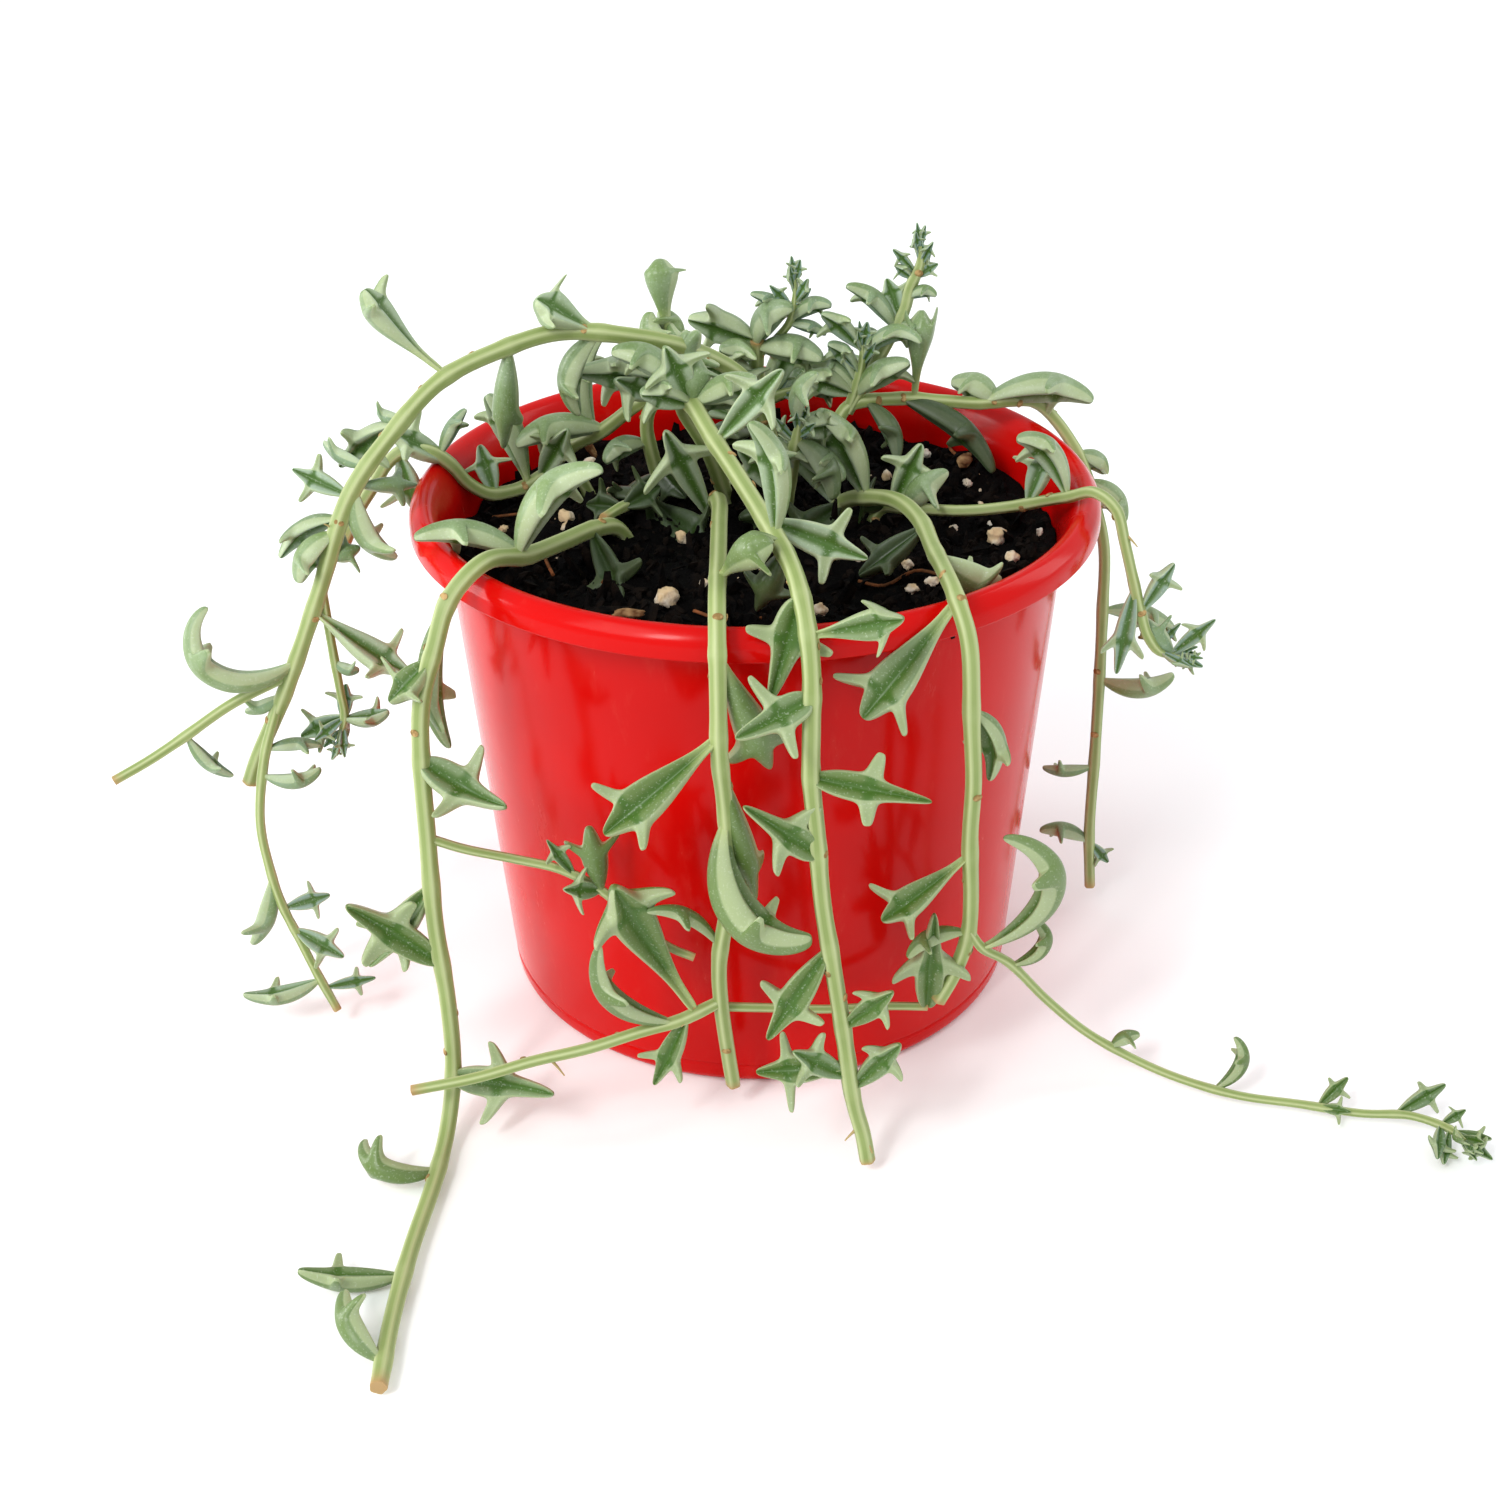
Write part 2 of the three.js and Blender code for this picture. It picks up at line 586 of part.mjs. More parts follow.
// A sphere drawn out along the leaf's curved middle line, wide at its two side lobes
function leafSolid(shoot, leaf, extra) {
  const [place, offset, rollDegrees, bendDegrees, girth, reach = 1, lobesAt = lobePlace] = leaf;
  const { sides, outline } = isFullGrown(leaf) ? fullGrownLeaf : youngLeaf;
  const foot = curveOf(shoot).getPoint(place);
  const along = new THREE.Vector3(...offset);
  const chord = along.length();
  along.normalize();
  const face = leafFront.clone().addScaledVector(along, -leafFront.dot(along)).normalize();
  face.applyAxisAngle(along, THREE.MathUtils.degToRad(rollDegrees));
  const line = middleLine(THREE.MathUtils.degToRad(bendDegrees));
  const end = line[line.length - 1];
  const length = chord / Math.hypot(end.x, end.z) + extra;
  const tilt = Math.atan2(end.z, end.x);
  const ahead = along.clone().multiplyScalar(Math.cos(tilt)).addScaledVector(face, -Math.sin(tilt));
  const up = face.clone().multiplyScalar(Math.cos(tilt)).addScaledVector(along, Math.sin(tilt));
  const side = new THREE.Vector3().crossVectors(up, ahead);

  const spread = Math.log(lobesAt) / Math.log(lobePlace);
  const rings = outline.length;
  const geometry = new THREE.SphereGeometry(1, sides, rings);
  const position = geometry.attributes.position;
  const columns = sides + 1;
  const point = new THREE.Vector3();
  for (let i = 0; i < position.count; i += 1) {
    const ring = Math.floor(i / columns);
    const sector = 2 * Math.PI * ((i % columns) % sides) / sides;
    const [at, halfWidth, halfDepth] = outline[Math.min(ring, rings - 1)];
    const isPole = ring === 0 || ring === rings;
    const isLobe = at === lobePlace;
    const here = line[Math.round(at ** spread * (line.length - 1))];
    const width = isPole ? 0 : Math.sin(sector) * (halfWidth * (isLobe ? reach : 1) * girth / 2 + extra);
    const lobeShare = isLobe ? Math.abs(Math.sin(sector)) : 0;
    const rise = lobeShare * lobeRise * reach * girth / 2;
    const depth = isPole ? 0 : Math.cos(sector) * (halfDepth * girth / 2 + extra) + rise;
    const sweep = lobeShare * length * lobeSweep;
    point.copy(foot)
      .addScaledVector(ahead, here.x * length + sweep * Math.cos(here.turn) - depth * Math.sin(here.turn))
      .addScaledVector(up, here.z * length + sweep * Math.sin(here.turn) + depth * Math.cos(here.turn))
      .addScaledVector(side, width);
    position.setXYZ(i, point.x, point.y, point.z);
  }
  return toSolid(geometry);
}

function boxesMeet(a, b) {
  return [0, 1, 2].every((axis) => a.min[axis] < b.max[axis] && b.min[axis] < a.max[axis]);
}

// Trims a solid back from every piece already placed, and keeps its main body
function clearOf(solid, placed) {
  let trimmed = solid;
  const box = solid.boundingBox();
  for (const other of placed) {
    if (boxesMeet(box, other.box)) trimmed = trimmed.subtract(other.solid);
  }
  const bodies = trimmed.decompose();
  const main = bodies.reduce((largest, body) => (body.volume() > largest.volume() ? body : largest));
  return main.simplify(facetTolerance);
}

function asPlaced(solid) {
  return { solid, box: solid.boundingBox() };
}

// A stem with its side shoots and its young leaves, which are one growth
function stemSolid(shoots, extra) {
  const pieces = shoots.flatMap((shoot) => [
    stemTube(shoot, extra),
    ...shoot.leaves.filter((leaf) => !isFullGrown(leaf)).map((leaf) => leafSolid(shoot, leaf, extra)),
  ]);
  return pieces.reduce((whole, piece) => whole.add(piece));
}

const potMaterial = new THREE.MeshStandardMaterial({ color: potColour, roughness: 0.25, metalness: 0 });
const soilMaterial = new THREE.MeshStandardMaterial({ color: soilColour, roughness: 0.95, metalness: 0 });
const stemMaterial = new THREE.MeshStandardMaterial({ color: stemColour, roughness: 0.5, metalness: 0 });
const leafMaterial = new THREE.MeshStandardMaterial({ color: leafColour, roughness: 0.45, metalness: 0 });

const plantedPot = new THREE.Group();
plantedPot.add(toMesh(makePot(), 'pot', potMaterial));
const placed = [asPlaced(potShell(gap))];

const growth = new THREE.Group();
for (const [name, shoots] of Object.entries(plant)) {
  const stem = clearOf(stemSolid(shoots, 0), placed);
  placed.push(asPlaced(stemSolid(shoots, gap).add(stem)));
  growth.add(toMesh(stem, `stem_${name}`, stemMaterial));
}
for (const [name, shoots] of Object.entries(plant)) {
  let count = 0;
  for (const shoot of shoots) {
    for (const leaf of shoot.leaves.filter(isFullGrown)) {
      count += 1;
      const solid = clearOf(leafSolid(shoot, leaf, 0), placed);
      placed.push(asPlaced(leafSolid(shoot, leaf, gap).add(solid)));
      growth.add(toMesh(solid, `leaf_${name}_${count}`, leafMaterial));
    }
  }
}
plantedPot.add(growth);

// The stems are rooted in sockets of the mix, as deep as they were planted
const plantPieces = placed.slice(1);
plantedPot.add(toMesh(clearOf(makeSoil(), plantPieces), 'potting_mix', soilMaterial));

export default plantedPot;
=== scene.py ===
# Potted string of dolphins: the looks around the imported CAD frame.
# Metres, +Z up. The pot stands on z = 0 with its axis on the Z axis, and its front faces -Y.
import math
import random
import bmesh
import bpy
import numpy as np
from mathutils import Matrix, Vector, noise


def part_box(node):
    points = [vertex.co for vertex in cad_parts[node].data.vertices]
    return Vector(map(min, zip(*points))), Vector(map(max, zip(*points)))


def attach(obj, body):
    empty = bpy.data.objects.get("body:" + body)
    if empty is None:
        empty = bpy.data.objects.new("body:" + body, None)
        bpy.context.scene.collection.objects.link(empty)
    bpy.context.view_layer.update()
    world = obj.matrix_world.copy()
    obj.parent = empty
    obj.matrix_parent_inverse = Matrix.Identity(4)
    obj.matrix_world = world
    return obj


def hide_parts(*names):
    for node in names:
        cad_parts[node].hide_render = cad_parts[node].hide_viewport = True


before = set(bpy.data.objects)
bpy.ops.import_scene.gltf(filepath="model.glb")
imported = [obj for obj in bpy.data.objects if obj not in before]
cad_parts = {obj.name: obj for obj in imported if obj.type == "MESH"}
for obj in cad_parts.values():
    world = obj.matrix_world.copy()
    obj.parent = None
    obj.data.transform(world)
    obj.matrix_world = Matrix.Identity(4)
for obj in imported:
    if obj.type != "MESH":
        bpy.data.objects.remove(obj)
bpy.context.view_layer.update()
scene = bpy.context.scene
mm = 0.001


# ---- nodes and materials

def hexToLinear(colour):   # "#rrggbb" in sRGB to linear red, green, blue, alpha
    channels = [int(colour[i:i + 2], 16) / 255 for i in (1, 3, 5)]
    return [c / 12.92 if c <= 0.04045 else ((c + 0.055) / 1.055) ** 2.4 for c in channels] + [1.0]


def addNode(tree, kind, sockets=None, **settings):   # a socket takes a value or another node's output
    node = tree.nodes.new(kind)
    for name, value in settings.items():
        setattr(node, name, value)
    for key, value in (sockets or {}).items():
        if isinstance(value, bpy.types.NodeSocket):
            tree.links.new(value, node.inputs[key])
        else:
            node.inputs[key].default_value = value
    return node


def addFirst(tree, kind, sockets=None, **settings):   # the same, but gives the node's first output
    return addNode(tree, kind, sockets, **settings).outputs[0]


def calc(tree, operation, *values):   # one step of arithmetic
    return addFirst(tree, "ShaderNodeMath", dict(enumerate(values)), operation=operation)


def remap(tree, value, start, end, low=0.0, high=1.0, **settings):
    # moves a value from start..end to low..high, and holds it there
    sockets = {"Value": value, "From Min": start, "From Max": end, "To Min": low, "To Max": high}
    return addFirst(tree, "ShaderNodeMapRange", sockets, **settings)


def addNoise(tree, place, width, detail, roughness=0.5):   # soft patches about width mm apart
    sockets = {"Vector": place, "Scale": 1 / (width * mm), "Detail": detail, "Roughness": roughness}
    return addNode(tree, "ShaderNodeTexNoise", sockets).outputs["Fac"]


def addBump(tree, height, strength, depth):   # the normal of a surface with heights up to depth mm
    return addFirst(tree, "ShaderNodeBump", {"Height": height, "Strength": strength, "Distance": depth * mm})


def readAttribute(tree, name):   # a value that each corner of a mesh carries
    return addNode(tree, "ShaderNodeAttribute", attribute_name=name).outputs["Fac"]


def mixColours(tree, factor, low, high):   # a colour between two, each a hex value or a node's output
    low, high = (hexToLinear(colour) if isinstance(colour, str) else colour for colour in (low, high))
    return addNode(tree, "ShaderNodeMix", {"Factor": factor, 6: low, 7: high}, data_type="RGBA").outputs[2]


def newMaterial(name):   # an empty material, its tree, and the object's own coordinates
    material = bpy.data.materials.new(name)
    material.use_nodes = True
    tree = material.node_tree
    tree.nodes.clear()
    return material, tree, addNode(tree, "ShaderNodeTexCoord").outputs["Object"]


def setSurface(tree, sockets):
    surface = addFirst(tree, "ShaderNodeBsdfPrincipled", sockets)
    addNode(tree, "ShaderNodeOutputMaterial", {"Surface": surface})


# ---- pieces and geometry trees

def newTree(name, inputs):   # a geometry tree with named inputs, and the sockets that give them
    tree = bpy.data.node_groups.new(name, "GeometryNodeTree")
    tree.interface.new_socket("Geometry", in_out="INPUT", socket_type="NodeSocketGeometry")
    for label, kind in inputs.items():
        tree.interface.new_socket(label, in_out="INPUT", socket_type="NodeSocket" + kind)
    tree.interface.new_socket("Geometry", in_out="OUTPUT", socket_type="NodeSocketGeometry")
    return tree, addNode(tree, "NodeGroupInput").outputs


def endTree(tree, geometry, finish):
    real = addFirst(tree, "GeometryNodeRealizeInstances", {0: geometry})
    dressed = addFirst(tree, "GeometryNodeSetMaterial", {"Geometry": real, "Material": finish})
    addNode(tree, "NodeGroupOutput", {0: dressed})
    return tree


def newObject(name, mesh):
    piece = bpy.data.objects.new(name, mesh)
    scene.collection.objects.link(piece)
    return piece


def meshFrom(form, name, finish=None):   # ends a bmesh; a mesh with a finish is smooth
    mesh = bpy.data.meshes.new(name)
    form.to_mesh(mesh)
    form.free()
    if finish:
        mesh.shade_smooth()
        mesh.materials.append(finish)
    return mesh


def bake(piece):   # keeps what the modifiers make as the piece's plain mesh
    graph = bpy.context.evaluated_depsgraph_get()
    shaped = piece.evaluated_get(graph)
    mesh = bpy.data.meshes.new_from_object(shaped, preserve_all_data_layers=True, depsgraph=graph)
    piece.modifiers.clear()
    piece.data = mesh
    mesh.name = piece.name


def grow(piece, tree, values):   # runs a geometry tree on a piece
    modifier = piece.modifiers.new(tree.name, "NODES")
    modifier.node_group = tree
    for item in tree.interface.items_tree:
        if item.in_out == "INPUT" and item.name in values:
            modifier[item.identifier] = values[item.name]
    bake(piece)


def ringPoint(radius, turn, height):   # mm and radians about the pot's axis to a place in metres
    return radius * mm * math.cos(turn), radius * mm * math.sin(turn), height * mm


def addRing(form, radius, height, facets):   # corners round the pot's axis, in mm; just one on the axis
    count = facets if radius else 1
    return [form.verts.new(ringPoint(radius, math.tau * k / facets, height)) for k in range(count)]


def joinRings(form, rings, facets):   # faces between rings of corners; a ring of one corner is a point
    for low, high in zip(rings, rings[1:]):
        for k in range(facets):
            n = (k + 1) % facets
            corners = [low[k % len(low)], high[k % len(high)], high[n % len(high)], low[n % len(low)]]
            form.faces.new(list(dict.fromkeys(corners)))
    bmesh.ops.recalc_face_normals(form, faces=form.faces)


# ---- camera

cameraView = {
    "place": (-1.7, -383.4, 270.8),   # mm
    "down": 30.2,                      # degrees below the horizon
    "roll": -0.84,                     # degrees
    "lens": 48.6,                      # mm, on the sensor below
    "sensor": 36.0,
    "reach": (0.01, 50),               # m, nearest and farthest things drawn
}


def makeCamera():
    data = bpy.data.cameras.new("camera")
    data.lens = cameraView["lens"]
    data.sensor_width = cameraView["sensor"]
    data.clip_start, data.clip_end = cameraView["reach"]
    camera = newObject("camera", data)
    tilt = Matrix.Rotation(math.radians(90 - cameraView["down"]), 4, "X")
    roll = Matrix.Rotation(math.radians(cameraView["roll"]), 4, "Z")
    camera.matrix_world = Matrix.Translation(Vector(cameraView["place"]) * mm) @ tilt @ roll
    scene.camera = camera


makeCamera()
print("camera ready")


# ---- the plant's layout, as in the CAD: millimetres and degrees
# Each shoot has a tube radius and a route of points along its middle.
# A leaf is (place along the shoot 0..1, tip from its foot, roll, bend, girth), which may go on with
# its lobes' reach as a share of the usual one, and their place along the leaf 0..1.

plant = {
    "arching": [
        {"radius": 1.9, "route": [
            (4, 24, 92), (4, 20, 110), (-1, 12, 127), (-12, 5, 137), (-26, 0, 142), (-38, -1, 143),
            (-49, -5, 141), (-60, -10, 137), (-69, -15, 129), (-79, -18, 116), (-87, -20, 96),
            (-96, -20, 75), (-104, -18, 59), (-107, -18, 52)],
         "leaves": [
            (0.53, (-14, -2, 18), 60, 25, 8.5, 0.7, 0.8), (0.45, (-3, 4, -23), 180, 20, 8, 0.3),
            (0.33, (-12, -3, 8), 30, 20, 10, 0.7, 0.8), (0.82, (-15, 0, 13), 90, 190, 8.5),
            (0.78, (19, -4, -13), -40, 25, 8.5, 0.9, 0.7), (0.85, (-10, 4, -6), 120, 30, 4.5),
            (0.61, (-14, 5, -11), -40, 60, 8), (0.66, (-10, 9, 2), 90, 20, 5),
            (0.69, (-12, 5, 4), 0, 20, 7), (0.68, (11, 7, -3), 180, 20, 5),
            (0.68, (7, 1, -16), -90, 70, 8), (0.6, (-6, 5, 0), 90, 40, 4.5),
            (0.71, (-14, 3, -10), -60, 70, 7), (0.72, (-8, -3, -10), -90, 50, 8.5),
            (0.74, (6, 3, 1), 180, 10, 5), (0.33, (-5, 4, -19), -90, 80, 8.5)]},
        {"radius": 1.2, "route": [
            (-96, -20, 78), (-107, -22, 73), (-117, -25, 67), (-124, -27, 63), (-131, -30, 60)],
         "leaves": [
            (0.48, (8, 2, -11), -90, 40, 5)]},
        {"radius": 1, "route": [
            (-86, -20, 97), (-86, -18, 84), (-86, -16, 73), (-86, -15, 66), (-88, -15, 60)],
         "leaves": [
            (0.33, (5, 0, -2), -90, 50, 4.5), (0.8, (1, 2, 8), 0, 20, 4.5),
            (0.75, (-10, 0, -5), 0, 20, 6), (0.77, (10, -2, 3), -60, 45, 6)]},
        {"radius": 1.1, "route": [
            (-98, -20, 72), (-102, -22, 60), (-104, -25, 47), (-103, -27, 36), (-101, -29, 28),
            (-98, -31, 21), (-95, -33, 14), (-91, -35, 5)],
         "leaves": [
            (0.12, (11, 3, -1), 90, 20, 5), (0.18, (13, -2, 3), -90, 60, 6),
            (0.45, (-7, 0, -18), 90, 30, 6.5), (0.58, (10, 2, 2), 0, 10, 5),
            (0.67, (11, -4, -5), 0, 10, 6), (0.89, (-17, -2, -2), 70, 50, 6.5),
            (0.92, (11, 2, 1), 0, 10, 4.5)]},
    ],
    "inner": [
        {"radius": 1.7, "route": [
            (-46, 28, 92), (-44, 26, 103), (-39, 25, 109), (-32, 21, 114), (-25, 16, 121),
            (-20, 10, 126)],
         "leaves": [
            (0.56, (4, 0, 23), 90, 80, 8.5), (0.62, (-19, -5, -2), -90, 45, 10, 0.7)]},
    ],
    "left_rim": [
        {"radius": 1.6, "route": [
            (-33, 24, 92), (-38, 21, 104), (-44, 19, 105), (-48, 17, 103.5), (-52, 15, 103),
            (-56, 13, 103.5), (-60, 12, 106.5), (-63, 11, 111), (-67, 10, 114.5), (-72, 11, 114.5),
            (-76, 10, 112), (-79, 7, 108), (-82, 4, 104), (-85, 2, 98)],
         "leaves": [
            (0.55, (-12, -3, 9), 30, 10, 8), (0.58, (6, 4, 9), 90, 20, 5),
            (0.23, (-8, 2, 20), -70, 25, 10, 0.5, 0.7), (0.18, (7, -5, 13), 0, 20, 8.5),
            (0.36, (-3, 4, 10), 0, 10, 6.5), (0.72, (3, -4, -12), 10, 20, 7)]},
    ],
    "long_trailing": [
        {"radius": 1.9, "route": [
            (-24, 1, 92), (-28, -3, 102), (-33, -10, 105), (-38, -20, 107), (-44, -33, 110),
            (-50, -45, 114.5), (-56, -51, 110), (-59, -55, 102), (-62, -57, 92), (-63, -58, 80),
            (-63, -60, 66), (-63, -62, 47), (-62, -63, 28), (-62, -65, 13), (-63, -73, 4),
            (-64, -87, 2.6), (-66, -105, 2.6), (-67, -122, 2.6), (-67, -138, 2.6)],
         "leaves": [
            (0.22, (-21, -3, 5), -90, 50, 8.5), (0.23, (18, -4, 19), 90, 70, 10.5),
            (0.34, (-2, 3, -33), -90, 45, 8), (0.4, (-8, -4, -7), 30, 20, 8, 1.2),
            (0.5, (17, -10, -4), -20, 75, 9, 1.1, 0.42), (0.59, (-15, 2, -21), 10, 20, 8.5),
            (0.64, (-16, -7, 19), 0, 40, 9, 1.3, 0.5), (0.73, (22, -10, 3), 0, 40, 8.5, 1.2, 0.42),
            (0.82, (-14, 5, 4), 150, 150, 6.5), (0.91, (-19, -2, 4), 80, 30, 7),
            (0.98, (-8, 13, 5), 130, 60, 7), (0.11, (7, -22, -6), 10, 25, 8.5, 1.5, 0.6)]},
        {"radius": 1, "route": [
            (-62, -60, 64), (-56, -59, 61), (-47, -58, 58), (-38, -59, 56), (-30, -61, 52),
            (-24, -63, 46), (-18, -65, 42), (-13, -66, 40)],
         "leaves": [
            (0.47, (-5, -1, 9), 0, 10, 4), (0.56, (-7, -4, 3), 0, 10, 6),
            (0.56, (-2, 2, 14), 180, 20, 7)]},
    ],
    "front_trailing": [
        {"radius": 1.8, "route": [
            (-8, 12, 92), (-8, 6, 104), (-7, -6, 108), (-7, -20, 110), (-7, -36, 112), (-7, -52, 114),
            (-7, -65, 115.5), (-7, -73, 111), (-7, -75, 103), (-7, -75, 90), (-6, -74, 75),
            (-6, -72, 58), (-8, -70, 43), (-8, -68, 31), (-7, -66, 18), (-6, -64, 7)],
         "leaves": [
            (0.34, (10, -6, 10), 120, 30, 9.5, 0.3, 0.8), (0.02, (-10, -9, 26), 0, 10, 8.5, 1.9, 0.72),
            (0.58, (-21, -7, -16), 15, 20, 12, 0.85, 0.74), (0.48, (9, 5, -26), 180, 20, 9, 0.8, 0.75),
            (0.61, (6, 6, -33), 180, 10, 8.5, 0.4, 0.7),
            (0.66, (16, -9, -20), -75, 125, 13, 0.75, 0.7), (0.79, (-14, -5, 12), -90, 60, 5)]},
        {"radius": 1.3, "route": [
            (-8, -68, 31), (-16, -70, 28), (-24, -71, 26), (-34, -72, 23), (-45, -72, 20),
            (-56, -73, 17), (-69, -73, 14)],
         "leaves": [
            (0.19, (-13, -2, 21), 90, 95, 7.5), (0.1, (-14, -8, 35), 15, 35, 12, 0.85, 0.78),
            (0.14, (-7, -4, -14), 20, 20, 7)]},
        {"radius": 1, "route": [
            (-7, -66, 28), (3, -64, 26), (13, -62, 24), (24, -60, 23), (33, -59, 22)],
         "leaves": [
            (1, (0, -8, 29), 0, 15, 9.5, 1.3, 0.45)]},
    ],
    "middle_trailing": [
        {"radius": 1.9, "route": [
            (-4, 18, 92), (-9, 12, 112), (-14, 2, 126), (-12, -9, 131), (-8, -19, 128), (-3, -32, 125),
            (2, -46, 122), (6, -60, 120), (8, -70, 116), (9, -76, 108), (9, -78, 98), (9, -78, 87),
            (10, -79, 75), (11, -80, 62), (13, -81, 48), (15, -82, 34), (17, -82, 18), (19, -82, 9),
            (20, -83, 3)],
         "leaves": [
            (0.35, (-5, -6, 24), -60, 60, 8.5, 1.3), (0.43, (-6, -6, -18), 0, 15, 9, 1, 0.38),
            (0.53, (-14, -7, -4), 10, 40, 8, 1.4, 0.38), (0.47, (16, -6, 6), 15, 20, 8.5, 0.75, 0.78),
            (0.61, (22, -6, -2), 0, 12, 8.5, 1.05, 0.48),
            (0.68, (-14, -5, 14), 0, 20, 8.5, 1.15, 0.36), (0.76, (-12, -5, -18), 0, 15, 8),
            (0.83, (9, -5, 12), 0, 15, 6.5), (0.87, (-11, -3, 9), 0, 20, 6.5),
            (0.88, (9, -3, 13), 0, 30, 7), (0.86, (-18, 2, -3), 0, 20, 8.5, 1.3),
            (0.33, (19, -5, -6), 0, 10, 8), (0.23, (13, -4, 16), 0, 20, 8.5, 1.3),
            (0.17, (13, -3, 6), 90, 20, 8.5), (0.37, (-5, 2, -13), 180, 10, 8.5),
            (0.17, (-16, 2, 10), -90, 60, 9.5, 0.8, 0.7), (0.17, (-5, -3, 13), 0, 30, 8.5, 1, 0.6),
            (0.17, (1, 3, 9), 180, 20, 8.5, 0.6, 0.7), (0.17, (-10, -5, 4), -60, 40, 8.5)]},
    ],
    "right_trailing": [
        {"radius": 1.8, "route": [
            (14, 8, 92), (18, 6, 103), (24, 0, 107), (29, -10, 110), (32, -24, 112), (33, -40, 113.5),
            (34, -54, 115), (35, -63, 114.5), (37, -69, 108), (38, -69, 93), (39, -68, 80),
            (39, -67, 67), (40, -65, 52), (40, -63, 42), (38, -61, 32), (35, -61, 25)],
         "leaves": [
            (0.47, (-17, -7, -20), 10, 20, 11, 0.75, 0.76), (0.59, (4, 3, -17), 60, 80, 7),
            (0.75, (-17, -6, -11), 20, 30, 9, 0.9, 0.75), (0.86, (-12, -2, -5), -90, 60, 6),
            (0.28, (-13, -3, -9), 30, 20, 8.5), (0.35, (13, 4, -7), -90, 40, 10.5, 0.5),
            (0.12, (-11, -3, 20), -60, 45, 11), (0.06, (-13, 4, 15), -60, 50, 10),
            (0.07, (-11, -12, -3), 10, 20, 8.4)]},
        {"radius": 1, "route": [
            (40, -64, 44), (43, -63, 39), (49, -60, 33), (57, -57, 22), (66, -55, 12), (76, -55, 5),
            (85, -60, 3.5), (96, -65, 3), (108, -68, 3), (119, -71, 3), (128, -73, 4), (134, -78, 5),
            (136, -83, 6)],
         "leaves": [
            (0.08, (1, -4, 28), -90, 150, 9), (0.17, (2, 0, 11), -90, 160, 5),
            (0.38, (6, 0, 3), 90, 30, 5), (0.55, (3, 2, 12), -90, 110, 5), (0.69, (6, 2, 6), 0, 10, 4),
            (0.69, (6, -3, 1), 0, 10, 3.5), (0.81, (10, 2, 6), 0, 10, 4.5),
            (0.9, (-3, -9, -1), 0, 10, 4), (0.93, (6, -8, -1), 0, 10, 4), (0.9, (5, 1, 3), 0, 10, 3.5)]},
    ],
    "right_rim": [
        {"radius": 1.3, "route": [
            (22, 7, 92), (26, 5, 102), (31, 1, 104), (42, -3, 105), (51, -6, 107), (58, -10, 110),
            (62, -14, 112.5), (66, -18, 115), (70, -21, 112.5), (72, -22, 106), (74, -22, 99),
            (76, -22, 92), (78, -22, 86), (81, -22, 82), (85, -22, 81)],
         "leaves": [
            (0.32, (4, 2, 12), -30, 20, 7), (0.42, (-11, 0, 12), -70, 95, 8),
            (0.11, (6, 0, 14), 10, 10, 9, 1.2), (0.14, (9, -2, 9), 120, 20, 8.5),
            (0.1, (-7, 3, 1), 180, 10, 6.5), (0.74, (-3, -4, -18), 0, 10, 5.5),
            (0.8, (6, 0, 11), 20, 20, 5.5), (0.97, (8, -2, 9), 0, 10, 5),
            (0.98, (-6, 3, 7), 150, 10, 5), (0.97, (7, 0, -3), 0, 10, 3.5)]},
    ],
    "back": [
        {"radius": 1.5, "route": [
            (16, 20, 92), (17, 22, 108), (20, 25, 117), (31, 27, 118), (40, 28, 117), (48, 29, 116),
            (55, 30, 116), (61, 33, 114.5), (66, 34, 110), (71, 31, 103), (74, 25, 95), (76, 19, 86),
            (76, 15, 73), (76, 12, 57), (76, 10, 38), (76, 9, 20), (77, 8, 5)],
         "leaves": [
            (0.35, (-10, 4, 3), -90, 40, 10, 0.5, 0.6), (0.32, (24, -4, 1), 80, 60, 10.5),
            (0.19, (20, -8, -15), 90, 50, 8.5), (0.56, (7, 2, -6), 90, 40, 7),
            (0.6, (8, -2, -10), 90, 55, 8.5), (0.81, (16, -3, 3), -90, 65, 8),
            (0.75, (17, 2, -6), 90, 30, 7), (0.88, (-12, 0, 0), 90, 30, 5),
            (0.95, (-12, 0, 3), -90, 40, 6.5), (0.95, (5, 0, -6), 0, 10, 4.5),
            (0.21, (1, -1, 20), 180, 10, 10, 0.4, 0.85), (0.15, (6, -10, -10), 90, 50, 7)]},
        {"radius": 1.4, "route": [
            (20, 25, 116), (24, 26, 123), (27, 27, 128), (30, 28, 133), (32, 29, 137), (33, 30, 141),
            (35, 30, 146), (35, 30, 150)],
         "leaves": [
            (0.43, (-11, -2, 10), -90, 50, 6.5), (0.5, (-3, 3, 8), 0, 15, 7),
            (0.77, (-4, 0, 3), -60, 30, 3.5), (0.78, (5, 0, 3), 0, 10, 3),
            (0.64, (6, -2, 1), 90, 90, 4.5), (0.44, (7, -4, -1), 90, 40, 6),
            (0.07, (11, -6, 9), 90, 30, 9), (0.86, (0, 0, 6), 0, 5, 3), (0.29, (-5, 0, 5), -90, 50, 6)]},
        {"radius": 1.2, "route": [
            (20, 25, 116), (22, 25, 122), (23, 25, 127), (23, 25, 131)],
         "leaves": [
            (0.87, (-9, -3, 9), -60, 40, 6), (0.78, (12, -6, 4), 90, 100, 6),
            (0.45, (-7, -3, 8), -60, 60, 6), (0.9, (1, 0, 6), 0, 10, 3.5),
            (0.21, (-11, -3, 5), -60, 40, 8.5), (0.27, (-10, 3, 5), -90, 40, 8),
            (0.33, (-6, 2, 8), -60, 30, 7)]},
    ],
    "crown_left": [
        {"radius": 1.6, "route": [
            (-17, 22, 92), (-21, 17, 108), (-22, 13, 120), (-17, 9, 129), (-16, 9, 135)],
         "leaves": [
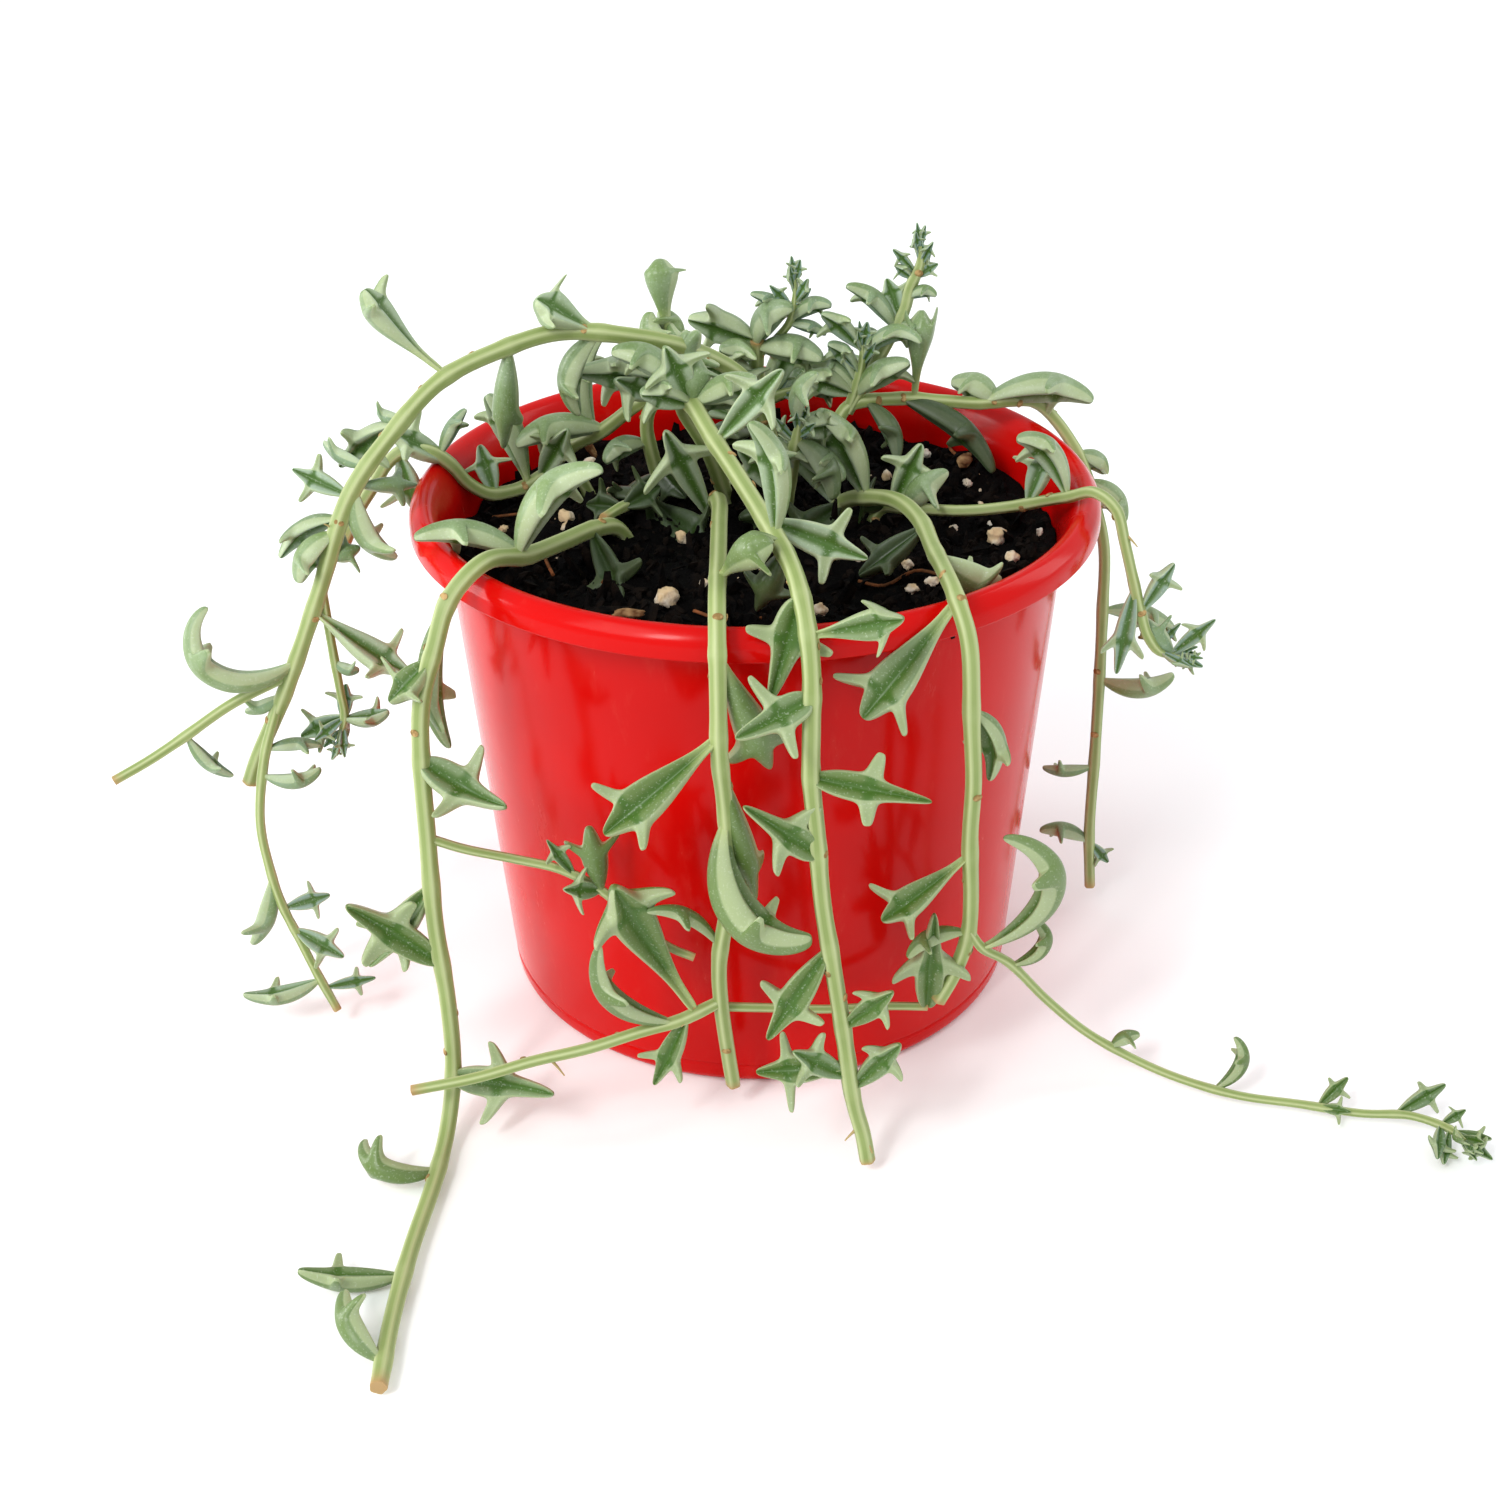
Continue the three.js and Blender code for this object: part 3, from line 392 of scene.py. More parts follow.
            (1, (-2, 2, 19), 150, 30, 10.5, 0.35, 0.86), (0.8, (4, -4, 11), 180, 10, 8.5),
            (0.77, (-19, -4, 3), -60, 20, 10.5, 0.8), (0.99, (-3, 4, 8), -90, 50, 8.5),
            (0.63, (-8, -8, 7), 0, 20, 7.5, 1.5), (0.35, (-9, -6, -2), -90, 60, 7.5),
            (0.85, (6, -5, 10), 180, 20, 8), (1, (-4, 0, 9), 90, 70, 8.5),
            (0.21, (-8, -4, -9), -30, 30, 9), (0.26, (7, -6, -6), 30, 30, 9),
            (0.1, (7, 3, 7), 60, 30, 8.5)]},
        {"radius": 1.3, "route": [
            (-19, 20, 97), (-22, 12, 102), (-27, 4, 104), (-31, -2, 104)],
         "leaves": [
            (0.24, (-5, -17, -10), 20, 20, 13, 0.6, 0.7), (0.3, (11, -13, -5), -10, 20, 11, 0.7, 0.7),
            (0.69, (-8, 4, -1), 0, 20, 8), (0.69, (8, 4, 3), 0, 20, 8),
            (0.33, (-11, 4, -2), -60, 30, 8)]},
    ],
    "crown_rear": [
        {"radius": 1.5, "route": [
            (-10, 44, 92), (-6, 46, 104), (3, 48, 110), (13, 47, 114)],
         "leaves": [
            (0.45, (-15, 6, 6), 0, 30, 8), (0.6, (-3, 4, 17), 60, 25, 8.5),
            (0.8, (6, 14, 3), 0, 30, 8), (0.95, (14, 3, 5), 90, 40, 8), (0.43, (0, 2, 17), 60, 30, 9),
            (0.65, (8, 2, 15), 40, 30, 9), (0.5, (-10, -4, 11), -60, 30, 9),
            (0.85, (9, -2, 4), 60, 30, 9), (0.93, (9, -4, 0), 90, 30, 8.5)]},
    ],
    "crown_back": [
        {"radius": 1.6, "route": [
            (0, 34, 92), (1, 32, 112), (1, 30, 124), (1, 28, 131)],
         "leaves": [
            (1, (-15, 3, 4), -60, 20, 10), (0.94, (8, -4, 9), 90, 80, 9.5),
            (0.9, (14, -6, -1), 90, 30, 10, 0.7), (0.77, (-8, -6, 4), -90, 20, 8.5),
            (0.61, (-12, -8, 5), -60, 20, 8.5), (0.43, (-14, -8, 3), -90, 20, 9),
            (0.47, (-3, -10, 8), 0, 20, 7.5), (0.28, (-12, -6, -1), -90, 30, 9),
            (0.24, (9, -4, -8), 90, 40, 9)]},
        {"radius": 0.9, "route": [
            (1, 29, 127), (5, 29, 131), (8, 28, 135), (9, 28, 140), (9, 28, 144)],
         "leaves": [
            (0.56, (-9, 0, 5), -90, 30, 4.5), (0.48, (9, -2, 4), 90, 70, 6),
            (0.67, (0, 0, 1), 0, 10, 3), (0.47, (8, -2, -2), 90, 30, 4.5)]},
    ],
    "crown_right": [
        {"radius": 1.6, "route": [
            (5, 10, 92), (7, 4, 108), (8, 0, 117), (9, -2, 124)],
         "leaves": [
            (0.98, (4, -3, 12), 90, 60, 6.5), (0.5, (-5, -4, 9), 90, 20, 7),
            (0.24, (-10, -2, 13), -30, 30, 8), (0.21, (-10, -6, 0), 180, 20, 7.5),
            (0.66, (10, -4, -5), 80, 50, 9), (0.92, (9, 2, 0), 60, 40, 9),
            (0.8, (7, -6, -11), 90, 60, 9), (0.38, (-3, -6, 11), -30, 30, 8)]},
    ],
}


def routePoint(route, t):   # the curve through the route's points that the CAD follows too, t = 0..1
    reach = t * (len(route) - 1)
    i = min(int(reach), len(route) - 2)
    w = reach - i
    p1, p2 = Vector(route[i]), Vector(route[i + 1])
    p0 = Vector(route[i - 1]) if i > 0 else p1 * 2 - p2
    p3 = Vector(route[i + 2]) if i + 2 < len(route) else p2 * 2 - p1
    v1, v2 = (p2 - p0) / 2, (p3 - p1) / 2
    return (p1 * 2 - p2 * 2 + v1 + v2) * w ** 3 + (p2 * 3 - p1 * 3 - v1 * 2 - v2) * w ** 2 + v1 * w + p1


def routeLength(route):
    return sum((Vector(b) - Vector(a)).length for a, b in zip(route, route[1:]))


def polylineMesh(name, lines):   # separate lines of (point in mm, {attribute: value})
    mesh = bpy.data.meshes.new(name)
    points = [point * mm for line in lines for point, facts in line]
    edges = []
    first = 0
    for line in lines:
        edges += [(i, i + 1) for i in range(first, first + len(line) - 1)]
        first += len(line)
    mesh.from_pydata(points, edges, [])
    facts = [facts for line in lines for point, facts in line]
    for key, sample in facts[0].items():
        kind, field = ("FLOAT_VECTOR", "vector") if isinstance(sample, Vector) else ("FLOAT", "value")
        values = np.asarray([fact[key] for fact in facts], dtype=np.float32)
        mesh.attributes.new(key, kind, "POINT").data.foreach_set(field, values.ravel())
    return mesh


# ---- pot; its box is the CAD's

potLow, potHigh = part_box("pot")
potShape = {
    "height": potHigh.z / mm,
    "rimRadius": (potHigh.x - potLow.x) / 2 / mm,
    "baseRadius": 55.5,      # outside of the wall at the base
    "topRadius": 63.3,       # outside of the wall, just under the rim
    "wallTop": 104.0,        # where the wall turns out into the rim
    "shoulder": (65.6, 107.6),    # radius and height where the wall meets the rim
    "skirt": (68.8, 105.6),       # inner radius and lowest height of the rim's turned-down edge
    "wall": 1.3,
    "floor": 1.6,
    "foot": 0.9,             # height of the hollow under the floor
    "footGroove": 0.35,      # depth of the fine groove round the foot
    "drainHoles": 8,
    "drainRadius": 4.0,
    "drainCircle": 42.0,
    "facets": 160,           # flats round the wall
    "filletSteps": 5,
}
potLooks = {
    "red": "#ca0907",
    "deepRed": "#b80604",
    "dust": "#e06a5a",
    "dustShare": 0.10,     # how much of the dust colour a scuff takes
    "sheen": 0.12,         # strength of the mirror reflection
    "roughness": 0.16,
    "scuffed": 0.22,       # what a scuff adds to the roughness
    "waveWidth": 38,       # mm between the soft waves that moulding leaves in the wall
    "scuffWidth": 9,       # mm
}


def wallRadius(height):   # outside of the pot wall at a height, in mm
    share = height / potShape["wallTop"]
    return potShape["baseRadius"] + (potShape["topRadius"] - potShape["baseRadius"]) * share


def roundedOutline(corners):   # (radius, height, fillet) corners to points with round fillets
    steps = potShape["filletSteps"]
    points = []
    for i, (radius, height, fillet) in enumerate(corners):
        here = Vector((radius, height))
        if fillet == 0:
            points.append(here)
            continue
        before = Vector(corners[i - 1][:2]) - here
        after = Vector(corners[i + 1][:2]) - here
        reach = min(fillet, before.length * 0.45, after.length * 0.45)
        start = here + before.normalized() * reach
        end = here + after.normalized() * reach
        for t in (k / steps for k in range(steps + 1)):
            points.append(start * (1 - t) ** 2 + here * 2 * t * (1 - t) + end * t ** 2)
    return points


def potOutline():   # from the middle of the underside, up the outside, over the rim and down inside
    wall, floor, foot, rim, top, wallTop = (
        potShape[key] for key in ("wall", "floor", "foot", "rimRadius", "height", "wallTop"))
    shoulderRadius, shoulderHeight = potShape["shoulder"]
    skirtRadius, skirtHeight = potShape["skirt"]
    return roundedOutline([
        (0, foot, 0),
        (wallRadius(0) - 9, foot, 1),
        (wallRadius(0) - 8, 0, 0.6),
        (wallRadius(0) - 1.2, 0, 1.6),
        (wallRadius(1.5), 1.5, 1.2),
        (wallRadius(4.2), 4.2, 0.3),
        (wallRadius(4.7) - potShape["footGroove"], 4.7, 0.4),
        (wallRadius(5.2), 5.2, 0.3),
        (wallRadius(wallTop) - 0.1, wallTop, 2.5),
        (shoulderRadius, shoulderHeight, 1.2),
        (skirtRadius - 0.3, shoulderHeight, 0.4),
        (skirtRadius, skirtHeight + 0.1, 0.3),
        (rim, skirtHeight, 0.5),
        (rim - 0.1, 109.2, 2.2),
        (67.6, top, 1.6),
        (65.6, 111.0, 1.2),
        (64.2, 109.2, 1.5),
        (wallRadius(wallTop) - wall, 104.4, 2.5),
        (wallRadius(floor) - wall, floor, 2.0),
        (0, floor, 0),
    ])


def makePotMaterial():
    # Injection-moulded polypropylene, gloss: even deep colour, sharp reflections that waver with the wall,
    # and dull scuffs from handling.
    look = potLooks
    material, tree, place = newMaterial("gloss moulded polypropylene, red")
    wave = addNoise(tree, place, look["waveWidth"], 1.0, 0.4)
    turned = addFirst(tree, "ShaderNodeMapping",
                      {"Vector": place, "Rotation": (0.3, 0.5, 0.2), "Scale": (1, 1, 0.3)})
    scuff = addNoise(tree, turned, look["scuffWidth"], 6.0, 0.75)
    scuffs = remap(tree, scuff, 0.56, 0.74)
    tone = mixColours(tree, wave, look["deepRed"], look["red"])
    colour = mixColours(tree, calc(tree, "MULTIPLY", scuffs, look["dustShare"]), tone, look["dust"])
    rough = remap(tree, scuffs, 0.0, 1.0, look["roughness"], look["roughness"] + look["scuffed"])
    height = calc(tree, "MULTIPLY_ADD", scuff, 0.02, wave)
    setSurface(tree, {"Base Color": colour, "Roughness": rough, "IOR": 1.49,
                      "Specular IOR Level": look["sheen"], "Normal": addBump(tree, height, 0.5, 0.8)})
    return material


def makePot():
    form = bmesh.new()
    facets = potShape["facets"]
    rings = [addRing(form, radius, height, facets) for radius, height in potOutline()]
    joinRings(form, rings, facets)
    pot = newObject("pot_shell", meshFrom(form, "pot_shell", makePotMaterial()))
    drill = bmesh.new()
    hole = potShape["drainRadius"] * mm
    for i in range(potShape["drainHoles"]):
        place = ringPoint(potShape["drainCircle"], (i + 0.5) * math.tau / potShape["drainHoles"], 1)
        bmesh.ops.create_cone(drill, cap_ends=True, segments=28, radius1=hole, radius2=hole, depth=8 * mm,
                              matrix=Matrix.Translation(Vector(place)))
    drillPiece = newObject("drill", meshFrom(drill, "drill"))
    cut = pot.modifiers.new("drain holes", "BOOLEAN")
    cut.operation = "DIFFERENCE"
    cut.object = drillPiece
    bake(pot)
    bpy.data.objects.remove(drillPiece)
    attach(pot, "root")
    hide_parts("pot")


makePot()
print("pot ready")


# ---- potting mix

mixLooks = {
    "level": 100.0,          # mm
    "swell": 1.2,            # mm, height of the low mounds
    "moundWidth": 9,         # mm
    "lumpHeight": 1.5,       # mm, unevenness on top of the mounds
    "lumpWidth": 7,          # mm
    "gap": 0.4,              # mm to the wall of the pot
    "rings": 44,
    "facets": 120,
    "crumbs": 2600,          # bark and coir crumbs on the surface
    "crumbSize": 2.4,        # mm
    "perlite": 45,           # small white grains scattered by chance
    "perliteSize": 1.3,      # mm
    "seed": 11,
    # nearly black: the mix's own dark peat and bark, with painted shade of the pot's inside in these colours
    "peat": "#030202",
    "bark": "#070504",
    "barkPale": "#150e09",
    "perliteWhite": "#e6dfd0",
    "perliteCream": "#c9b08a",
    "chip": "#5a3a22",
    "chipPale": "#9a7a55",
    # the grains and chips that stand out: x, y, size in mm
    "bigPerlite": [
        (-39, 4, 3.6), (-15, -1, 3.2), (-10, -28, 2.4), (-38, 45, 3), (-36, 37, 3.4), (49, -6, 4.6),
        (51, -16, 3.4), (29, 27, 2.6), (48, 12, 2), (41, 1, 2), (30, -20, 2.8), (12, -39, 3.2),
        (30, -30, 2.6), (34, -29, 2.8), (28, -16, 1.8), (46, 22, 2.2), (-17, -34, 5), (-31, 22, 2.6),
        (58, -4, 1.8), (2, 30, 3), (-8, 44, 3.2), (15, 48, 2.8), (38, 38, 2.6), (-52, 2, 2.2)],
    "bigChips": [
        (-47, 19, 6.5), (-37, 43, 7.5), (23, 19, 6.5), (38, -38, 5.5), (-24, -42, 6), (6, 52, 7),
        (46, 30, 6), (-50, -14, 5), (-6, -46, 5)],
    "sunk": 0.32,            # height of a grain's middle over the mix, as a share of its size
    # fine roots lying on the mix: points x, y in mm
    "roots": [[(-43, -8), (-42, -14), (-40, -21)], [(-55, 10), (-51, 8), (-47, 9)],
              [(-31, -14), (-29, -20), (-30, -25)], [(44, 44), (44, 38), (46, 33)],
              [(20, -24), (25, -26), (31, -24), (36, -26)], [(-12, -38), (-6, -41), (1, -40)]],
    "rootRadius": 0.35,      # mm
    "rootRise": 0.9,         # mm over the mix
    "rootColour": "#8a5230",
}


def mixHeight(x, y):   # surface of the mix over the pot's floor, in mm
    width = mixLooks["moundWidth"]
    mounds = math.sin(x / width) * math.cos(y / width) + 0.5 * math.sin(1.5 * (x + y) / width)
    return mixLooks["level"] + mixLooks["swell"] * mounds - 0.5


mixFit = potShape["wall"] + mixLooks["gap"]               # from the pot's outside to the mix
mixRadius = wallRadius(mixLooks["level"]) - mixFit


def makeMixSurface(radius):   # a bmesh with rings of corners over the mounds, uneven as loose mix is
    form = bmesh.new()
    rings = [[form.verts.new((0, 0, mixHeight(0, 0) * mm))]]
    for i in range(1, mixLooks["rings"] + 1):
        ring = []
        for k in range(mixLooks["facets"]):
            turn = math.tau * k / mixLooks["facets"]
            x, y = (radius * i / mixLooks["rings"] * c for c in (math.cos(turn), math.sin(turn)))
            lumps = noise.fractal(Vector((x, y, 3)) / mixLooks["lumpWidth"], 1.0, 2.0, 4)
            height = mixHeight(x, y) + lumps * mixLooks["lumpHeight"]
            ring.append(form.verts.new((x * mm, y * mm, height * mm)))
        rings.append(ring)
    return form, rings


def makeMixBed():   # the surface, closed by a wall and a floor that follow the pot
    form, rings = makeMixSurface(mixRadius)
    facets = mixLooks["facets"]
    bottom = potShape["floor"] + 0.3
    for height in (70, bottom):
        rings.append(addRing(form, wallRadius(height) - mixFit, height, facets))
    rings.append(addRing(form, 0, bottom, facets))
    joinRings(form, rings, facets)
    bed = newObject("potting_mix_bed", meshFrom(form, "potting_mix_bed", makePeatMaterial()))
    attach(bed, "root")
    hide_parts("potting_mix")


def crumbMesh(name, seed, stretch, rough):   # a small broken grain of a few dozen faces, to be scattered
    form = bmesh.new()
    bmesh.ops.create_icosphere(form, subdivisions=1, radius=0.5)
    chance = random.Random(seed)
    for corner in form.verts:
        corner.co *= 1 + rough * (chance.random() - 0.5)
        corner.co = Vector(c * s for c, s in zip(corner.co, stretch))
    return meshFrom(form, name)


def grainsMesh(name, grains, stretch, rough, finish):   # broken grains at given places, half sunk in the mix
    form = bmesh.new()
    chance = random.Random(mixLooks["seed"])
    for x, y, size in grains:
        lump = bmesh.ops.create_icosphere(form, subdivisions=3, radius=size * mm / 2)["verts"]
        turn = Matrix.Rotation(chance.uniform(0, math.tau), 3, Vector((chance.random(), chance.random(), 1)))
        offset = Vector((x, y, 7 * chance.random()))   # a different stretch of noise for each grain
        place = Vector((x, y, mixHeight(x, y) + size * mixLooks["sunk"])) * mm
        for corner in lump:
            swell = 1 + rough * noise.fractal(corner.co.normalized() * 1.3 + offset, 1.0, 2.0, 3)
            corner.co = place + turn @ Vector(c * s * swell for c, s in zip(corner.co, stretch))
    return meshFrom(form, name, finish)


def scatterTree():   # grains lying on a surface, turned and sized by chance
    tree, start = newTree("grains on the mix", {"Grain": "Object", "Count": "Float", "Size": "Float",
                                                "Seed": "Int", "Finish": "Material"})
    points = addFirst(tree, "GeometryNodeDistributePointsOnFaces",
                      {"Mesh": start["Geometry"], "Density": start["Count"], "Seed": start["Seed"]})
    grain = addNode(tree, "GeometryNodeObjectInfo", {"Object": start["Grain"]}).outputs["Geometry"]
    turn = addFirst(tree, "FunctionNodeRandomValue",
                    {0: (0, 0, 0), 1: (math.tau, math.tau, math.tau), "Seed": start["Seed"]},
                    data_type="FLOAT_VECTOR")
    share = addNode(tree, "FunctionNodeRandomValue", {2: 0.0, 3: 1.0, "Seed": start["Seed"]},
                    data_type="FLOAT").outputs[1]
    scale = remap(tree, calc(tree, "POWER", share, 2.2), 0.0, 1.0, 0.35, 1.7)   # mostly small, a few large
    size = calc(tree, "MULTIPLY", scale, start["Size"])
    placed = addFirst(tree, "GeometryNodeInstanceOnPoints",
                      {"Points": points, "Instance": grain, "Rotation": turn, "Scale": size})
    return endTree(tree, placed, start["Finish"])


def makePeatMaterial():
    # Damp peat and coir: almost black, its own dark colour with painted shade of the pot's inside in it;
    # matt, with a fibrous grain and a few wet glints.
    material, tree, place = newMaterial("damp peat and coir")
    grain = addNoise(tree, place, 1.6, 8.0, 0.7)
    colour = mixColours(tree, remap(tree, grain, 0.45, 0.8), mixLooks["peat"], mixLooks["bark"])
    setSurface(tree, {"Base Color": colour, "Roughness": remap(tree, grain, 0.0, 1.0, 0.95, 0.6),
                      "Normal": addBump(tree, grain, 1.0, 1.2), "Specular IOR Level": 0.06})
    return material


def makeGrainMaterial(name, pale, dark, width, rough):
    # Broken grains: colour that changes from grain to grain, with a dry, pitted surface.
    material, tree, place = newMaterial(name)
    patch = addNoise(tree, place, width, 2.0)
    pits = addNoise(tree, place, 0.5, 3.0)
    colour = mixColours(tree, remap(tree, patch, 0.42, 0.66), dark, pale)
    setSurface(tree, {"Base Color": colour, "Roughness": rough, "Normal": addBump(tree, pits, 0.7, 0.4),
                      "Specular IOR Level": 0.08})
    return material


def fineRootsMesh():
    lines = []
    facts = {"stemRadius": mixLooks["rootRadius"] * mm, "cutEnd": 0.0, "knuckle": 0.0}
    for route in mixLooks["roots"]:
        points = [(x, y, mixHeight(x, y) + mixLooks["rootRise"] + 0.5 * math.sin(x + y)) for x, y in route]
        lines.append([(routePoint(points, k / 12), facts) for k in range(13)])
    return polylineMesh("fine_roots", lines)


def makeMix(tubes):
    look = mixLooks
    makeMixBed()
    bark = makeGrainMaterial("composted bark crumbs", look["barkPale"], look["peat"], 3.0, 0.85)
    perlite = makeGrainMaterial("expanded perlite grains", look["perliteWhite"], look["perliteCream"],
                                4.0, 0.9)
    chip = makeGrainMaterial("pine bark chips", look["chipPale"], look["chip"], 2.5, 0.8)
    root = makeGrainMaterial("dry fine roots", look["rootColour"], look["chip"], 3.0, 0.7)
    pieces = []
    tree = scatterTree()
    area = math.pi * (mixRadius * mm) ** 2
    scattered = [   # name, stretch, roughness, count, size in mm, material
        ("bark_crumbs", (1.3, 0.8, 0.6), 0.9, look["crumbs"], look["crumbSize"], bark),
        ("bark_slivers", (3.2, 0.8, 0.45), 0.7, look["crumbs"] / 8, look["crumbSize"] * 1.1, bark),
        ("perlite_grains", (1.0, 0.85, 0.8), 0.8, look["perlite"], look["perliteSize"], perlite),
    ]
    for number, (name, stretch, rough, count, size, finish) in enumerate(scattered):
        seed = look["seed"] + number
        form, rings = makeMixSurface(mixRadius - 1.5)
        joinRings(form, rings, look["facets"])
        piece = newObject(name, meshFrom(form, name))
        grain = newObject(name + "_grain", crumbMesh(name + "_grain", seed, stretch, rough))
        grow(piece, tree, {"Grain": grain, "Count": count / area, "Size": size * mm, "Seed": seed,
                           "Finish": finish})
        bpy.data.objects.remove(grain)
        pieces.append(piece)
    placed = [   # name, places, stretch, roughness, material
        ("perlite_pebbles", look["bigPerlite"], (1.0, 0.8, 0.75), 0.45, perlite),
        ("bark_chips", look["bigChips"], (1.0, 0.5, 0.28), 0.3, chip),
    ]
    for name, *shape in placed:
        pieces.append(newObject(name, grainsMesh(name, *shape)))
    roots = newObject("fine_roots", fineRootsMesh())
    grow(roots, tubes, {"Sides": 8, "Ribs": 2.0, "Rib depth": 0.1, "Finish": root})
    pieces.append(roots)
    for piece in pieces:
        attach(piece, "root")


# ---- stems

stemLooks = {
    "sides": 20,
    "ribs": 5,             # low ridges along the stem
    "ribDepth": 0.07,      # share of the radius
    "ringStep": 1.5,       # mm between rings
    "knuckle": 0.1,        # swelling where a leaf leaves, as a share of the radius
    "knuckleLength": 2.2,  # mm
    "rootShare": 0.92,     # radius at the root, as a share of the CAD's
    "taper": 0.12,         # loss of radius from root to tip, as a share
    "cutLength": 2.2,      # mm that a cut end has turned tan
    "tipLength": 9,        # mm over which a growing tip thins out
    "tipRadius": 0.45,     # what is left of the radius at the tip, as a share
    "green": "#93a264",
    "pale": "#b9c190",
    "olive": "#738644",
    "tan": "#a98a5a",
    "scar": "#8a6f45",
    "scarPale": "#b99a68",
    # shoots that end in a growing tip, not in a cut: vine, number
    "growing": [("back", 1), ("back", 2), ("crown_back", 1), ("right_trailing", 1), ("right_rim", 0),
                ("arching", 2), ("crown_right", 0), ("crown_rear", 0)],
    "tipLeaves": 7,
    "tipTurn": 2.4,        # radians from one tip leaf to the next
    # short aerial roots: vine, shoot, place along it, tip from its foot in mm
    "aerialRoots": [("long_trailing", 1, 0.42, (2, 0, 7)), ("front_trailing", 1, 0.62, (3, -1, -3)),
                    ("front_trailing", 1, 0.1, (-3, -2, -1)), ("middle_trailing", 0, 0.93, (-3, -1, -2)),
                    ("middle_trailing", 0, 0.94, (2, -2, -3)), ("right_rim", 0, 0.62, (3, -1, -2)),
                    ("arching", 0, 0.72, (-2, -1, 3)), ("long_trailing", 0, 0.33, (-3, -1, -2))],
    "aerialRadius": 0.42,  # mm
    "aerialDroop": 0.8,    # mm that an aerial root's tip hangs below its straight line
    "scarSpacing": 17,     # mm between the scars that fallen leaves left
    "scarSize": 1.05,      # mm
    "scarSeed": 3,
}


def stemLine(shoot, isGrowing):   # a shoot's middle line, with what the tube needs to know at each point
    look = stemLooks
    length = routeLength(shoot["route"])
    count = max(6, round(length / look["ringStep"]))
    line = []
    for t in (k / count for k in range(count + 1)):
        near = min([abs(t - leaf[0]) * length for leaf in shoot["leaves"]] or [length])
        swelling = 1 + look["knuckle"] * math.exp(-(near / look["knuckleLength"]) ** 2)
        share = look["rootShare"] - look["taper"] * t
        toEnd = (1 - t) * length
        if isGrowing:
            share *= look["tipRadius"] + (1 - look["tipRadius"]) * min(1.0, toEnd / look["tipLength"])
        cut = 0.0 if isGrowing else max(0.0, 1 - toEnd / look["cutLength"])
        line.append((routePoint(shoot["route"], t), {"stemRadius": shoot["radius"] * share * swelling * mm,
                                                     "cutEnd": cut, "knuckle": swelling - 1}))
    return line


def stemTree():   # tubes with low ridges along a set of lines
    tree, start = newTree("ribbed stems", {"Sides": "Int", "Ribs": "Float", "Rib depth": "Float",
                                           "Finish": "Material"})
    lines = addFirst(tree, "GeometryNodeMeshToCurve", {0: start["Geometry"]})
    radius = addFirst(tree, "GeometryNodeInputNamedAttribute", {"Name": "stemRadius"}, data_type="FLOAT")
    ring = addFirst(tree, "GeometryNodeCurvePrimitiveCircle", {"Resolution": start["Sides"], "Radius": 1.0})
    around = addNode(tree, "GeometryNodeSplineParameter").outputs["Factor"]
    turn = calc(tree, "MULTIPLY", around, math.tau)
    ridges = calc(tree, "COSINE", calc(tree, "MULTIPLY", turn, start["Ribs"]))
    swell = calc(tree, "MULTIPLY_ADD", ridges, start["Rib depth"], 1.0)
    shaped = addFirst(tree, "ShaderNodeVectorMath",
                      {0: addFirst(tree, "GeometryNodeInputPosition"), "Scale": swell}, operation="SCALE")
    marked = addFirst(tree, "GeometryNodeStoreNamedAttribute",
                      {"Geometry": ring, "Name": "ridge", "Value": ridges},
                      data_type="FLOAT", domain="POINT")
    ribbed = addFirst(tree, "GeometryNodeSetPosition", {"Geometry": marked, "Position": shaped})
    tube = addFirst(tree, "GeometryNodeCurveToMesh",
                    {"Curve": lines, "Profile Curve": ribbed, "Scale": radius, "Fill Caps": True})
    smooth = addFirst(tree, "GeometryNodeSetShadeSmooth", {"Geometry": tube})
    return endTree(tree, smooth, start["Finish"])


def makeStemMaterial():
    # Living succulent stem: waxy skin over water-filled flesh, pale along its ridges and tan where cut.
    look = stemLooks
    material, tree, place = newMaterial("waxy succulent stem skin")
    base = mixColours(tree, addNoise(tree, place, 14, 2.0), look["olive"], look["green"])
    light = remap(tree, readAttribute(tree, "ridge"), -0.4, 1.0, 0.0, 0.75)
    collar = remap(tree, readAttribute(tree, "knuckle"), 0.05, 0.22, 0.0, 0.35)
    ribbed = mixColours(tree, light, base, look["pale"])
    joined = mixColours(tree, collar, ribbed, look["pale"])
    colour = mixColours(tree, readAttribute(tree, "cutEnd"), joined, look["tan"])
    speck = addNoise(tree, place, 0.7, 3.0)
    setSurface(tree, {"Base Color": colour, "Roughness": 0.48, "IOR": 1.4,
                      "Normal": addBump(tree, speck, 0.35, 0.15), "Subsurface Weight": 0.12,
                      "Subsurface Radius": (1.0, 1.0, 0.4), "Subsurface Scale": 1.2 * mm})
    return material


def makeAerialRoots(tubes, finish):
    look = stemLooks
    lines = []
    for vine, number, place, reach in look["aerialRoots"]:
        foot = routePoint(plant[vine][number]["route"], place)
        line = []
        for t in (k / 6 for k in range(7)):
            point = foot + Vector(reach) * t + Vector((0, 0, -look["aerialDroop"] * t * t))
            radius = look["aerialRadius"] * (1 - 0.7 * t) * mm
            line.append((point, {"stemRadius": radius, "cutEnd": 0.75, "knuckle": 0.0}))
        lines.append(line)
    roots = newObject("aerial_roots", polylineMesh("aerial_roots", lines))
    grow(roots, tubes, {"Sides": 8, "Ribs": 2.0, "Rib depth": 0.1, "Finish": finish})
    return roots


